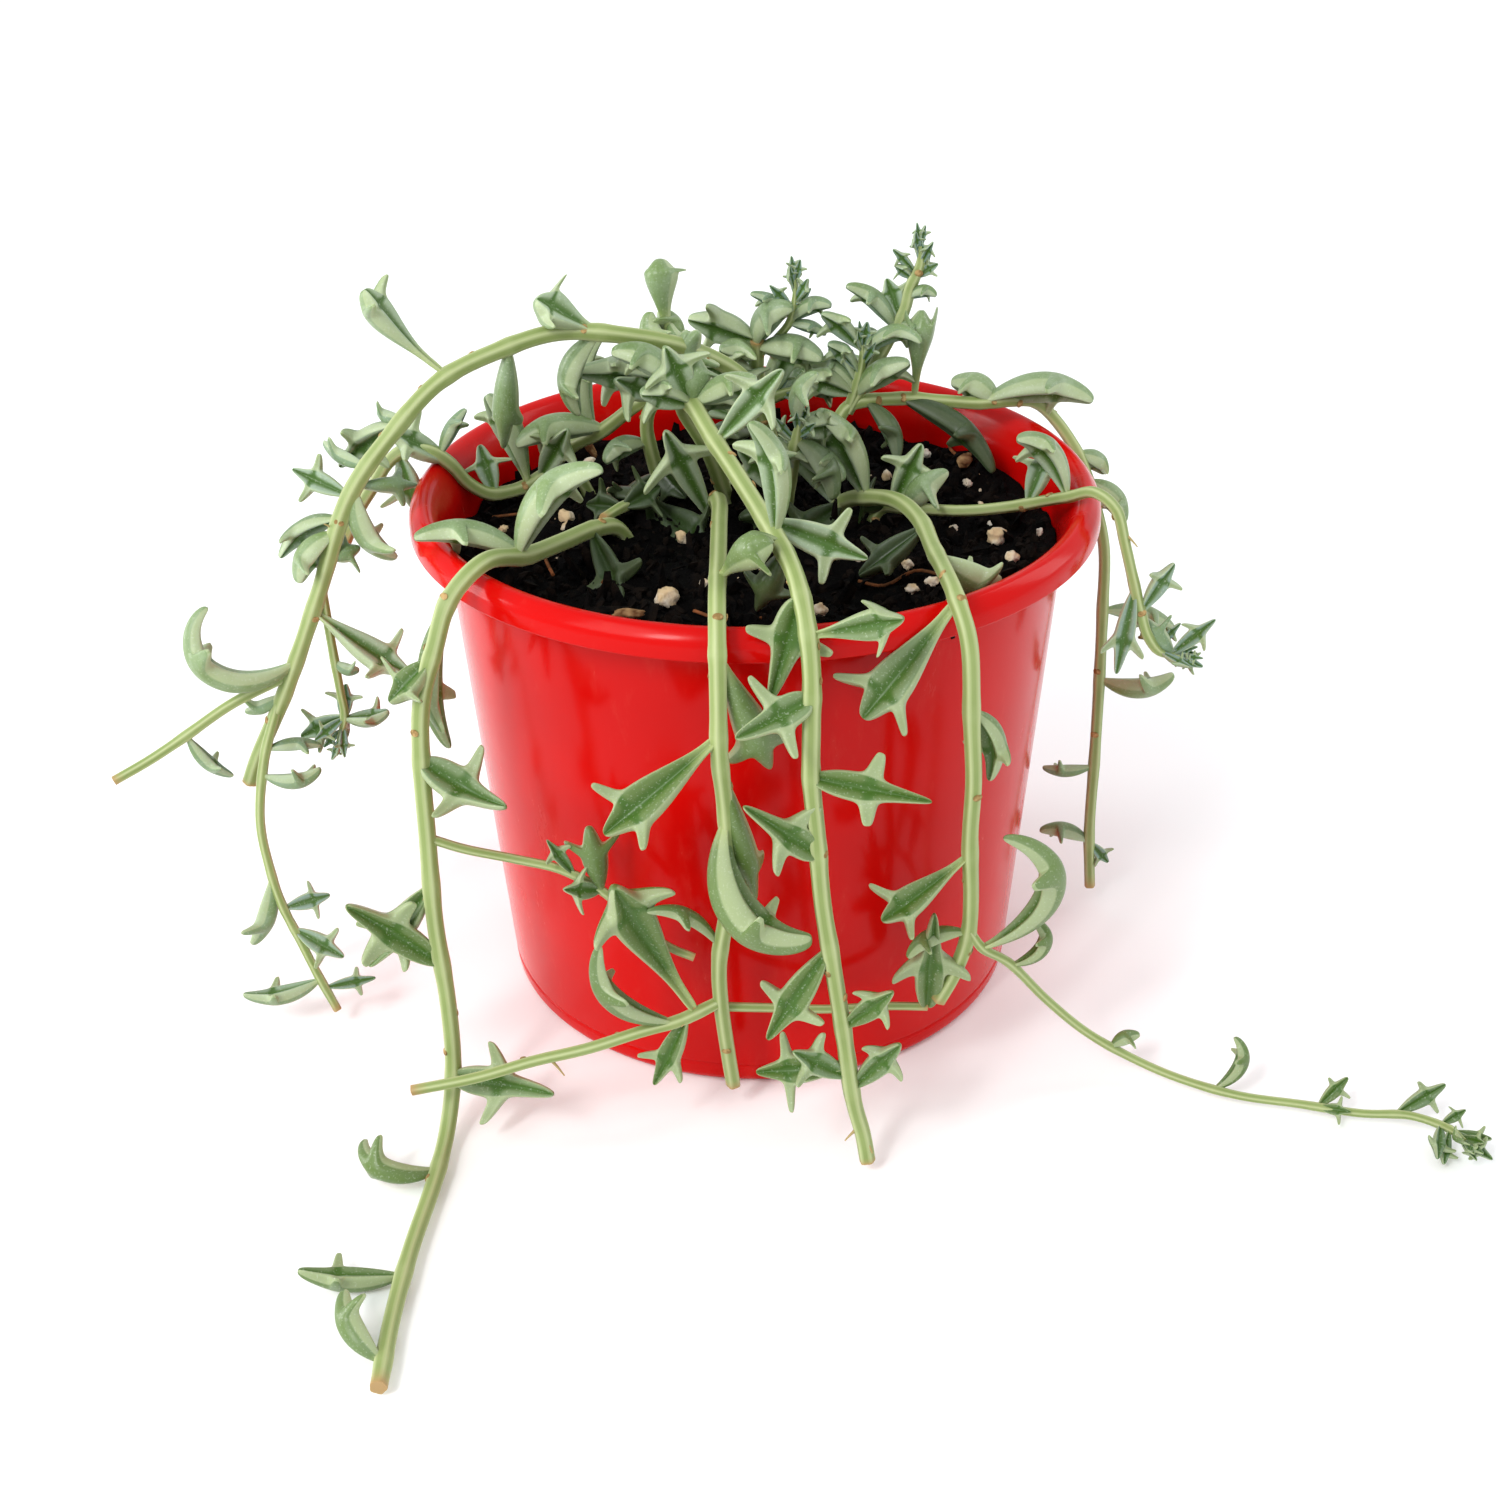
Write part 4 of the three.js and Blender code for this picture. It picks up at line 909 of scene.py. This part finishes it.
def makeScars():   # low oval pads where leaves have fallen, on the thicker shoots
    look = stemLooks
    form = bmesh.new()
    chance = random.Random(look["scarSeed"])
    for shoot in (shoot for shoots in plant.values() for shoot in shoots):
        length = routeLength(shoot["route"])
        for k in range(int(length / look["scarSpacing"])):
            t = (k + chance.random()) * look["scarSpacing"] / length
            if shoot["radius"] < 1.25 or t > 0.97:
                continue
            foot = routePoint(shoot["route"], t)
            ahead = (routePoint(shoot["route"], t + 0.01) - foot).normalized()
            out = Matrix.Rotation(chance.uniform(0, math.tau), 3, ahead) @ ahead.orthogonal().normalized()
            radius = shoot["radius"] * (0.9 - look["taper"] * t)
            for corner in bmesh.ops.create_uvsphere(form, u_segments=14, v_segments=8, radius=1)["verts"]:
                a, b, c = corner.co
                spot = ahead * a * look["scarSize"] * 0.7 + out.cross(ahead) * b * look["scarSize"] * 0.95
                corner.co = (foot + spot + out * (radius + c * 0.28 - 0.05 * b * b)) * mm
    finish = makeGrainMaterial("corky leaf scars", look["scarPale"], look["scar"], 1.2, 0.8)
    return newObject("leaf_scars", meshFrom(form, "leaf_scars", finish))


# ---- leaves

leafLooks = {
    "front": (0, -0.86, 0.5),      # an unrolled leaf faces this way
    "bendGrowth": 1.5,             # the curve tightens towards the tip
    "steps": 20,                   # stretches of a leaf's middle line
    "smooth": 2,                   # levels of subdivision
    "tipSmooth": 1,                # the same for the smallest leaves
    "seed": 5,
    # place along the leaf, half width, half depth, in half girths
    "rows": [
        (0.0, 0.17, 0.22), (0.05, 0.17, 0.22), (0.13, 0.26, 0.4), (0.26, 0.44, 0.66), (0.4, 0.6, 0.86),
        (0.51, 0.68, 0.92), (0.6, 0.7, 0.92), (0.665, 0.66, 0.88), (0.73, 0.52, 0.8),
        (0.82, 0.42, 0.66), (0.91, 0.3, 0.48), (0.975, 0.15, 0.24)],
    # right half of a cross-section, groove in front to the back: across, deep, window, shoulder, rim;
    # shoulder and rim mark where painted highlights run, along the groove's shoulders (mixed into the bloom)
    # and along the leaf's edge
    "section": [(0.0, 0.14, 1.0, 0.0, 0.0), (0.22, 0.22, 0.6, 0.1, 0.0), (0.58, 0.46, 0.0, 0.9, 0.0),
                (0.95, 0.5, 0.0, 1.0, 0.7), (1.08, 0.06, 0.0, 0.3, 1.0), (0.76, -0.56, 0.0, 0.0, 0.0),
                (0.0, -0.86, 0.0, 0.0, 0.0)],
    "lobeRows": (6, 7, 8),         # a side lobe grows between them; the window branches at the middle one
    "branchDepth": 0.85,           # depth of that row in front, as a share
    "lobePlace": 0.665,
    # each stretch of a side lobe: out, up towards the front, size kept
    "lobe": [(0.24, 0.08, 0.76), (0.34, 0.18, 0.84), (0.34, 0.24, 0.76), (0.16, 0.12, 0.66)],
    # how much leaves differ by chance
    "twist": (-0.35, 0.35),        # radians from foot to tip
    "lobeReach": (0.8, 1.05),
    "lobeSweep": (-0.08, 0.14),    # how far lobes lean towards the tip, as a share of the length
    "lobeShift": (0.96, 1.04),
    "tipShare": (0.6, 1.0),        # width at the tip
    "bodyShare": (0.85, 1.12),     # width of the body
    # how much of the painted shade at the plant's front and right a leaf takes
    "frontRightShadeShare": (0.6, 1.0),
    # leaves whose middle is nearer the pot's axis than this, in mm, are over the mix; others may carry
    # painted shade at the plant's front and right
    "overMix": 56,
    # where a leaf starts to be young, to carry painted shade low in the pot, and to carry painted shade at
    # the plant's front and right, and over how much it becomes fully so
    "young": (8.2, 4),             # mm of girth
    # painted shade: a leaf over the mix whose tip is below this height is darkened as if shaded inside the
    # pot
    "inPotShade": (113, 6),               # mm, height of its tip
    # painted shade: leaves in front of this y and right of the x below turn darker and greener, with less
    # bloom
    "frontShadeY": (-30, 20),       # mm, along y
    "rightShadeX": (85, 12),        # mm, along x
    "flesh": "#748b52",
    "shade": "#647c49",
    "bloom": "#9bac90",
    "youngBloom": "#78908b",
    "window": "#3c6018",
    # painted shade: the darker green of leaves at the plant's front and right
    "frontRightShadeColour": "#566d2e",
    # painted highlight along the leaf's sharp edge
    "rim": "#b6c096",
    "dots": "#c6d0b8",
    "foot": "#b0ba7c",
    # painted shade: the near-black green of leaves low inside the pot
    "inPotShadeColour": "#1c2e08",
}


def makeLeafBlank():   # a straight leaf in its own measures: along 0..1, across and deep in half girths
    look = leafLooks
    form = bmesh.new()
    keys = ("along", "across", "deep", "window", "shoulder", "rim", "lobe")
    layer = {key: form.verts.layers.float.new(key) for key in keys}
    right = look["section"]
    section = right + [(-across, *others) for across, *others in reversed(right[1:-1])]
    sides = len(section)
    rings = []
    for number, (place, width, depth) in enumerate(look["rows"]):
        ring = []
        for a, d, window, shoulder, rim in section:
            corner = form.verts.new((place, a * width, d * depth))
            isBranch = number == look["lobeRows"][1] and d > 0
            deep = d * depth * (look["branchDepth"] if isBranch else 1.0)
            facts = (place, a * width, deep, 1.0 if isBranch else window, shoulder, rim, 0.0)
            for key, value in zip(keys, facts):
                corner[layer[key]] = value
            ring.append(corner)
        rings.append(ring)
    lobeFaces = {1: [], -1: []}
    for number, (low, high) in enumerate(zip(rings, rings[1:])):
        for k in range(sides):
            n = (k + 1) % sides
            face = form.faces.new((low[k], low[n], high[n], high[k]))
            if number in look["lobeRows"][:2] and k in (3, 4, sides - 5, sides - 4):   # the two edges
                lobeFaces[1 if k < 5 else -1].append(face)
    form.faces.new(list(reversed(rings[0])))
    form.faces.new(rings[-1])
    for side, faces in lobeFaces.items():
        for out, rise, kept in look["lobe"]:
            region = bmesh.ops.extrude_face_region(form, geom=faces)["geom"]
            bmesh.ops.delete(form, geom=faces, context="FACES")
            faces = [part for part in region if isinstance(part, bmesh.types.BMFace)]
            corners = [part for part in region if isinstance(part, bmesh.types.BMVert)]
            middle = {key: sum(c[layer[key]] for c in corners) / len(corners) for key in keys[:3]}
            for corner in corners:
                for key, step in zip(keys, (0.0, side * out, rise)):
                    corner[layer[key]] = middle[key] + (corner[layer[key]] - middle[key]) * kept + step
                corner[layer["lobe"]] += out
                corner[layer["shoulder"]] *= 0.8
    bmesh.ops.recalc_face_normals(form, faces=form.faces)
    return newObject("leaf_blank", meshFrom(form, "leaf_blank"))


def tipLeaves(shoot, chance):   # the crowded smallest leaves round a growing tip, as rows like the layout's
    look = stemLooks
    route = shoot["route"]
    end = routePoint(route, 1)
    ahead = (end - routePoint(route, 0.97)).normalized()
    side = ahead.orthogonal().normalized()
    rows = []
    for k in range(look["tipLeaves"]):
        share = k / (look["tipLeaves"] - 1)
        around = Matrix.Rotation(k * look["tipTurn"], 3, ahead) @ side
        way = (ahead * (0.8 + 1.2 * share) + around * (1 - 0.7 * share)).normalized()
        place = 1 - look["tipLength"] * (1 - share) / routeLength(route)
        roll, bend = chance.uniform(-40, 40), chance.uniform(15, 45)
        rows.append((place, tuple(way * (8 - 3 * share)), roll, bend, 3.2 - 1.2 * share, 0.9))
    return rows


def clamp(value):
    return max(0.0, min(1.0, value))


def leafFacts(foot, offset, girth, reach, lobePlace, chance):   # what differs from leaf to leaf
    look = leafLooks
    middle = foot + offset / 2
    isOverMix = math.hypot(middle.x, middle.y) < look["overMix"]
    facts = {
        "halfGirth": girth / 2 * mm,
        "lobeReach": chance.uniform(*look["lobeReach"]) * reach,
        "lobeSweep": chance.uniform(*look["lobeSweep"]),
        "spread": math.log(lobePlace * chance.uniform(*look["lobeShift"])) / math.log(look["lobePlace"]),
        "tipShare": chance.uniform(*look["tipShare"]),
        "bodyShare": chance.uniform(*look["bodyShare"]),
        "tone": chance.random(),
        "young": clamp((look["young"][0] - girth) / look["young"][1]),
        "low": 0.0,
        "fresh": 0.0,
    }
    if isOverMix:
        # painted shade: a low leaf over the mix is darkened as if in the pot's shade
        facts["low"] = clamp((look["inPotShade"][0] - foot.z - offset.z) / look["inPotShade"][1])
    else:
        # painted shade: leaves at the plant's front and right are darker and greener
        front, right = look["frontShadeY"], look["rightShadeX"]
        share = max((front[0] - middle.y) / front[1], (middle.x - right[0]) / right[1])
        facts["fresh"] = clamp(share) * chance.uniform(*look["frontRightShadeShare"])
    return facts


def leafLine(shoot, leaf, chance):   # a leaf's middle line, with what the tree needs to know at each point
    place, offset, roll, bend, girth, reach, lobePlace = leaf + (1.0, 0.62)[len(leaf) - 5:]
    look = leafLooks
    offset = Vector(offset)
    foot = routePoint(shoot["route"], place)
    along = offset.normalized()
    front = Vector(look["front"])
    face = (front - along * front.dot(along)).normalized()
    face.rotate(Matrix.Rotation(math.radians(roll), 3, along))
    steps = look["steps"]
    x, z = [0.0], [0.0]
    for i in range(steps):
        turn = math.radians(bend) * ((i + 0.5) / steps) ** look["bendGrowth"]
        x.append(x[-1] + math.cos(turn) / steps)
        z.append(z[-1] + math.sin(turn) / steps)
    length = offset.length / math.hypot(x[-1], z[-1])
    tilt = math.atan2(z[-1], x[-1])
    ahead = along * math.cos(tilt) - face * math.sin(tilt)
    up = face * math.cos(tilt) + along * math.sin(tilt)
    side = up.cross(ahead)
    twist = chance.uniform(*look["twist"])
    facts = leafFacts(foot, offset, girth, reach, lobePlace, chance)
    line = []
    for i, (px, pz) in enumerate(zip(x, z)):
        sway = side * math.cos(twist * i / steps) + up * math.sin(twist * i / steps) * 0.4
        point = foot + ahead * px * length + up * pz * length
        line.append((point, {"sideways": sway.normalized(), **facts}))
    return line


def leafTree():   # one leaf blank bent along each line
    tree, start = newTree("leaves on their middle lines", {"Blank": "Object", "Smooth": "Int",
                                                           "Finish": "Material"})
    kinds = {"leafNumber": "INT", "sideways": "FLOAT_VECTOR"}
    read = {name: addFirst(tree, "GeometryNodeInputNamedAttribute", {"Name": name},
                           data_type=kinds.get(name, "FLOAT"))
            for name in ("along", "across", "deep", "lobe", "lobeReach", "tipShare", "lobeSweep", "spread",
                         "halfGirth", "bodyShare", "leafNumber", "sideways")}
    lines = addFirst(tree, "GeometryNodeMeshToCurve", {0: start["Geometry"]})
    number = addFirst(tree, "GeometryNodeInputIndex")
    counted = addFirst(tree, "GeometryNodeStoreNamedAttribute",
                       {"Geometry": lines, "Name": "leafNumber", "Value": number},
                       data_type="INT", domain="CURVE")
    feet = addFirst(tree, "GeometryNodeCurveEndpointSelection", {"Start Size": 1, "End Size": 0})
    blank = addNode(tree, "GeometryNodeObjectInfo", {"Object": start["Blank"]}).outputs["Geometry"]
    placed = addFirst(tree, "GeometryNodeInstanceOnPoints",
                      {"Points": counted, "Selection": feet, "Instance": blank})
    real = addFirst(tree, "GeometryNodeRealizeInstances", {0: placed})
    # where along its line a corner belongs
    spaced = calc(tree, "POWER", read["along"], read["spread"])
    swept = calc(tree, "MULTIPLY_ADD", read["lobe"], read["lobeSweep"], spaced)
    middle = addNode(tree, "GeometryNodeSampleCurve",
                     {"Curves": counted, "Value": read["sideways"], "Factor": swept,
                      "Curve Index": read["leafNumber"]}, data_type="FLOAT_VECTOR", mode="FACTOR").outputs
    # and how far from that line, to the side and to the front
    longer = calc(tree, "MULTIPLY", read["lobe"], calc(tree, "SUBTRACT", read["lobeReach"], 1.0))
    body = calc(tree, "MULTIPLY", read["across"], read["bodyShare"])
    wide = calc(tree, "MULTIPLY_ADD", longer, calc(tree, "SIGN", read["across"]), body)
    slim = remap(tree, read["along"], 0.7, 1.0, 1.0, read["tipShare"])
    halfWidth = calc(tree, "MULTIPLY", calc(tree, "MULTIPLY", wide, slim), read["halfGirth"])
    halfDepth = calc(tree, "MULTIPLY", read["deep"], read["halfGirth"])
    face = addFirst(tree, "ShaderNodeVectorMath", {0: middle["Tangent"], 1: middle[0]},
                    operation="CROSS_PRODUCT")
    place = middle["Position"]
    for way, reach in ((middle[0], halfWidth), (face, halfDepth)):
        step = addFirst(tree, "ShaderNodeVectorMath", {0: way, "Scale": reach}, operation="SCALE")
        place = addFirst(tree, "ShaderNodeVectorMath", {0: place, 1: step})
    bent = addFirst(tree, "GeometryNodeSetPosition", {"Geometry": real, "Position": place})
    fine = addFirst(tree, "GeometryNodeSubdivisionSurface", {"Mesh": bent, "Level": start["Smooth"]})
    smooth = addFirst(tree, "GeometryNodeSetShadeSmooth", {"Geometry": fine})
    return endTree(tree, smooth, start["Finish"])


def makeLeafMaterial():
    # Living succulent leaf: water-filled flesh under a waxy skin with a whitish bloom, and a clear dark
    # window along the groove in front that branches into the side lobes.
    look = leafLooks
    material, tree, place = newMaterial("waxy succulent leaf skin")
    names = ("window", "shoulder", "rim", "tone", "young", "low", "fresh", "along", "across", "deep")
    fact = {name: readAttribute(tree, name) for name in names}
    lengthwise = calc(tree, "MULTIPLY", fact["along"], 3.0)
    grainPlace = addFirst(tree, "ShaderNodeCombineXYZ", {0: lengthwise, 1: fact["across"], 2: fact["deep"]})
    fibre = addNode(tree, "ShaderNodeTexNoise",
                    {"Vector": grainPlace, "Scale": 7.0, "Detail": 4.0, "Roughness": 0.6}).outputs["Fac"]
    speck = addNoise(tree, place, 0.45, 2.0)
    # bloom on the flesh, with a painted highlight along the shoulders of the groove; leaves at the plant's
    # front and right get painted shade, darker and greener with less bloom
    # painted highlight: the shoulders of the groove are paler, mixed into the real bloom
    bloomAndShoulderHighlight = calc(tree, "MULTIPLY_ADD", fact["shoulder"], 0.6, addNoise(tree, place, 7, 3.0))
    bloomAndHighlightMask = remap(tree, calc(tree, "MULTIPLY_ADD", fibre, 0.6, bloomAndShoulderHighlight), 0.6, 1.3, 0.0, 0.85)
    bloom = mixColours(tree, fact["young"], look["bloom"], look["youngBloom"])
    flesh = mixColours(tree, fact["tone"], look["flesh"], look["shade"])
    bloomed = mixColours(tree, bloomAndHighlightMask, flesh, bloom)
    # painted shade: leaves at the plant's front and right turn darker and greener, with less bloom
    skin = mixColours(tree, calc(tree, "MULTIPLY", fact["fresh"], 0.95), bloomed, look["frontRightShadeColour"])
    # window, painted highlight along the pale edge, tiny pale dots, pale foot, and painted shade on the
    # leaves low over the mix, one over the other
    window = remap(tree, fact["window"], 0.12, 0.85, 0.0, 0.92, interpolation_type="SMOOTHSTEP")
    # painted highlight: a pale line along the leaf's sharp edge
    edgeHighlight = remap(tree, fact["rim"], 0.42, 0.62, 0.0, 0.5)
    dots = remap(tree, speck, 0.6, 0.7, 0.0, 0.28)
    foot = remap(tree, fact["along"], 0.16, 0.0, 0.0, 0.7)
    # painted shade darkening the leaves low over the mix
    inPotShade = calc(tree, "MULTIPLY", fact["low"], 0.86)
    layers = [(window, "window"), (edgeHighlight, "rim"), (dots, "dots"), (foot, "foot"), (inPotShade, "inPotShadeColour")]
    colour = skin
    for mask, name in layers:
        colour = mixColours(tree, mask, colour, look[name])
    rough = remap(tree, bloomAndHighlightMask, 0.0, 1.0, 0.3, 0.5)
    setSurface(tree, {"Base Color": colour, "Roughness": rough, "IOR": 1.4,
                      "Normal": addBump(tree, speck, 0.3, 0.12), "Subsurface Weight": 0.12,
                      "Subsurface Radius": (0.8, 1.0, 0.3), "Subsurface Scale": 1.5 * mm})
    return material


def makePlant(tubes):
    leavesTree = leafTree()
    stemFinish, leafFinish = makeStemMaterial(), makeLeafMaterial()
    blank = makeLeafBlank()
    for piece in (makeAerialRoots(tubes, stemFinish), makeScars()):
        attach(piece, "root")
    chance = random.Random(leafLooks["seed"])
    for vine, shoots in plant.items():
        growing = [(vine, number) in stemLooks["growing"] for number in range(len(shoots))]
        stemLines = [stemLine(shoot, isGrowing) for shoot, isGrowing in zip(shoots, growing)]
        stems = newObject("stems_" + vine, polylineMesh("stems", stemLines))
        grow(stems, tubes, {"Sides": stemLooks["sides"], "Ribs": float(stemLooks["ribs"]),
                            "Rib depth": stemLooks["ribDepth"], "Finish": stemFinish})
        leafLines = [leafLine(shoot, leaf, chance) for shoot in shoots for leaf in shoot["leaves"]]
        leaves = newObject("leaves_" + vine, polylineMesh("leaves", leafLines))
        grow(leaves, leavesTree, {"Blank": blank, "Smooth": leafLooks["smooth"], "Finish": leafFinish})
        prefix = "leaf_" + vine + "_"
        leafNodes = [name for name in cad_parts
                     if name.startswith(prefix) and name[len(prefix):].isdigit()]
        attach(stems, "root")
        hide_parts("stem_" + vine)
        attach(leaves, "root")
        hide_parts(*leafNodes)
        tipLines = [leafLine(shoot, leaf, chance) for shoot, isGrowing in zip(shoots, growing) if isGrowing
                    for leaf in tipLeaves(shoot, chance)]
        if tipLines:
            tips = newObject("tips_" + vine, polylineMesh("tips", tipLines))
            grow(tips, leavesTree, {"Blank": blank, "Smooth": leafLooks["tipSmooth"], "Finish": leafFinish})
            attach(tips, "root")
    bpy.data.objects.remove(blank)


ribbedTubes = stemTree()
makeMix(ribbedTubes)
print("potting mix ready")
makePlant(ribbedTubes)
print("plant ready")


# ---- studio: a pale floor, soft daylight from the front left

studio = {
    "floorSize": 8.0,          # m
    "floorColour": "#fbfcfc",
    "world": "#f4f6f8",
    "worldStrength": 1.0,
    # name: place, looks at, width, height in m, power in W
    "lamps": {
        "window_left": ((-1.4, -1.3, 1.7), (0, 0, 0.08), 1.2, 1.4, 20.0),
        "panel_left": ((-1.6, 0.15, 0.4), (0, 0, 0.06), 0.5, 0.9, 12.0),
        "window_pane": ((-0.5, -0.8, 0.9), (0, 0, 0.1), 0.16, 0.34, 4.5),
        "panel_right": ((1.5, 0.5, 0.9), (0, 0, 0.06), 0.5, 1.2, 6.0),
    },
}


def makeFloor():   # flat white paint: no gloss, faint roller texture
    material, tree, place = newMaterial("matt white painted board")
    roller = addNoise(tree, place, 2, 2.0)
    setSurface(tree, {"Base Color": hexToLinear(studio["floorColour"]), "Roughness": 0.9,
                      "Normal": addBump(tree, roller, 0.05, 0.1)})
    size = studio["floorSize"] / 2
    mesh = bpy.data.meshes.new("floor")
    corners = [(-size, -size, 0), (size, -size, 0), (size, size, 0), (-size, size, 0)]
    mesh.from_pydata(corners, [], [(0, 1, 2, 3)])
    mesh.materials.append(material)
    newObject("floor", mesh)


def makeLight():
    world = bpy.data.worlds.new("soft daylight")
    scene.world = world
    world.use_nodes = True
    sky = world.node_tree.nodes["Background"]
    sky.inputs["Color"].default_value = hexToLinear(studio["world"])
    sky.inputs["Strength"].default_value = studio["worldStrength"]
    for name, (place, target, width, height, power) in studio["lamps"].items():
        data = bpy.data.lights.new(name, "AREA")
        data.shape = "RECTANGLE"
        data.size, data.size_y = width, height
        data.energy = power
        away = Vector(place) - Vector(target)
        turn = away.to_track_quat("Z", "Y").to_matrix().to_4x4()
        newObject(name, data).matrix_world = Matrix.Translation(Vector(place)) @ turn
    scene.view_settings.view_transform = "Standard"
    scene.view_settings.look = "None"


makeFloor()
makeLight()
print("studio ready")
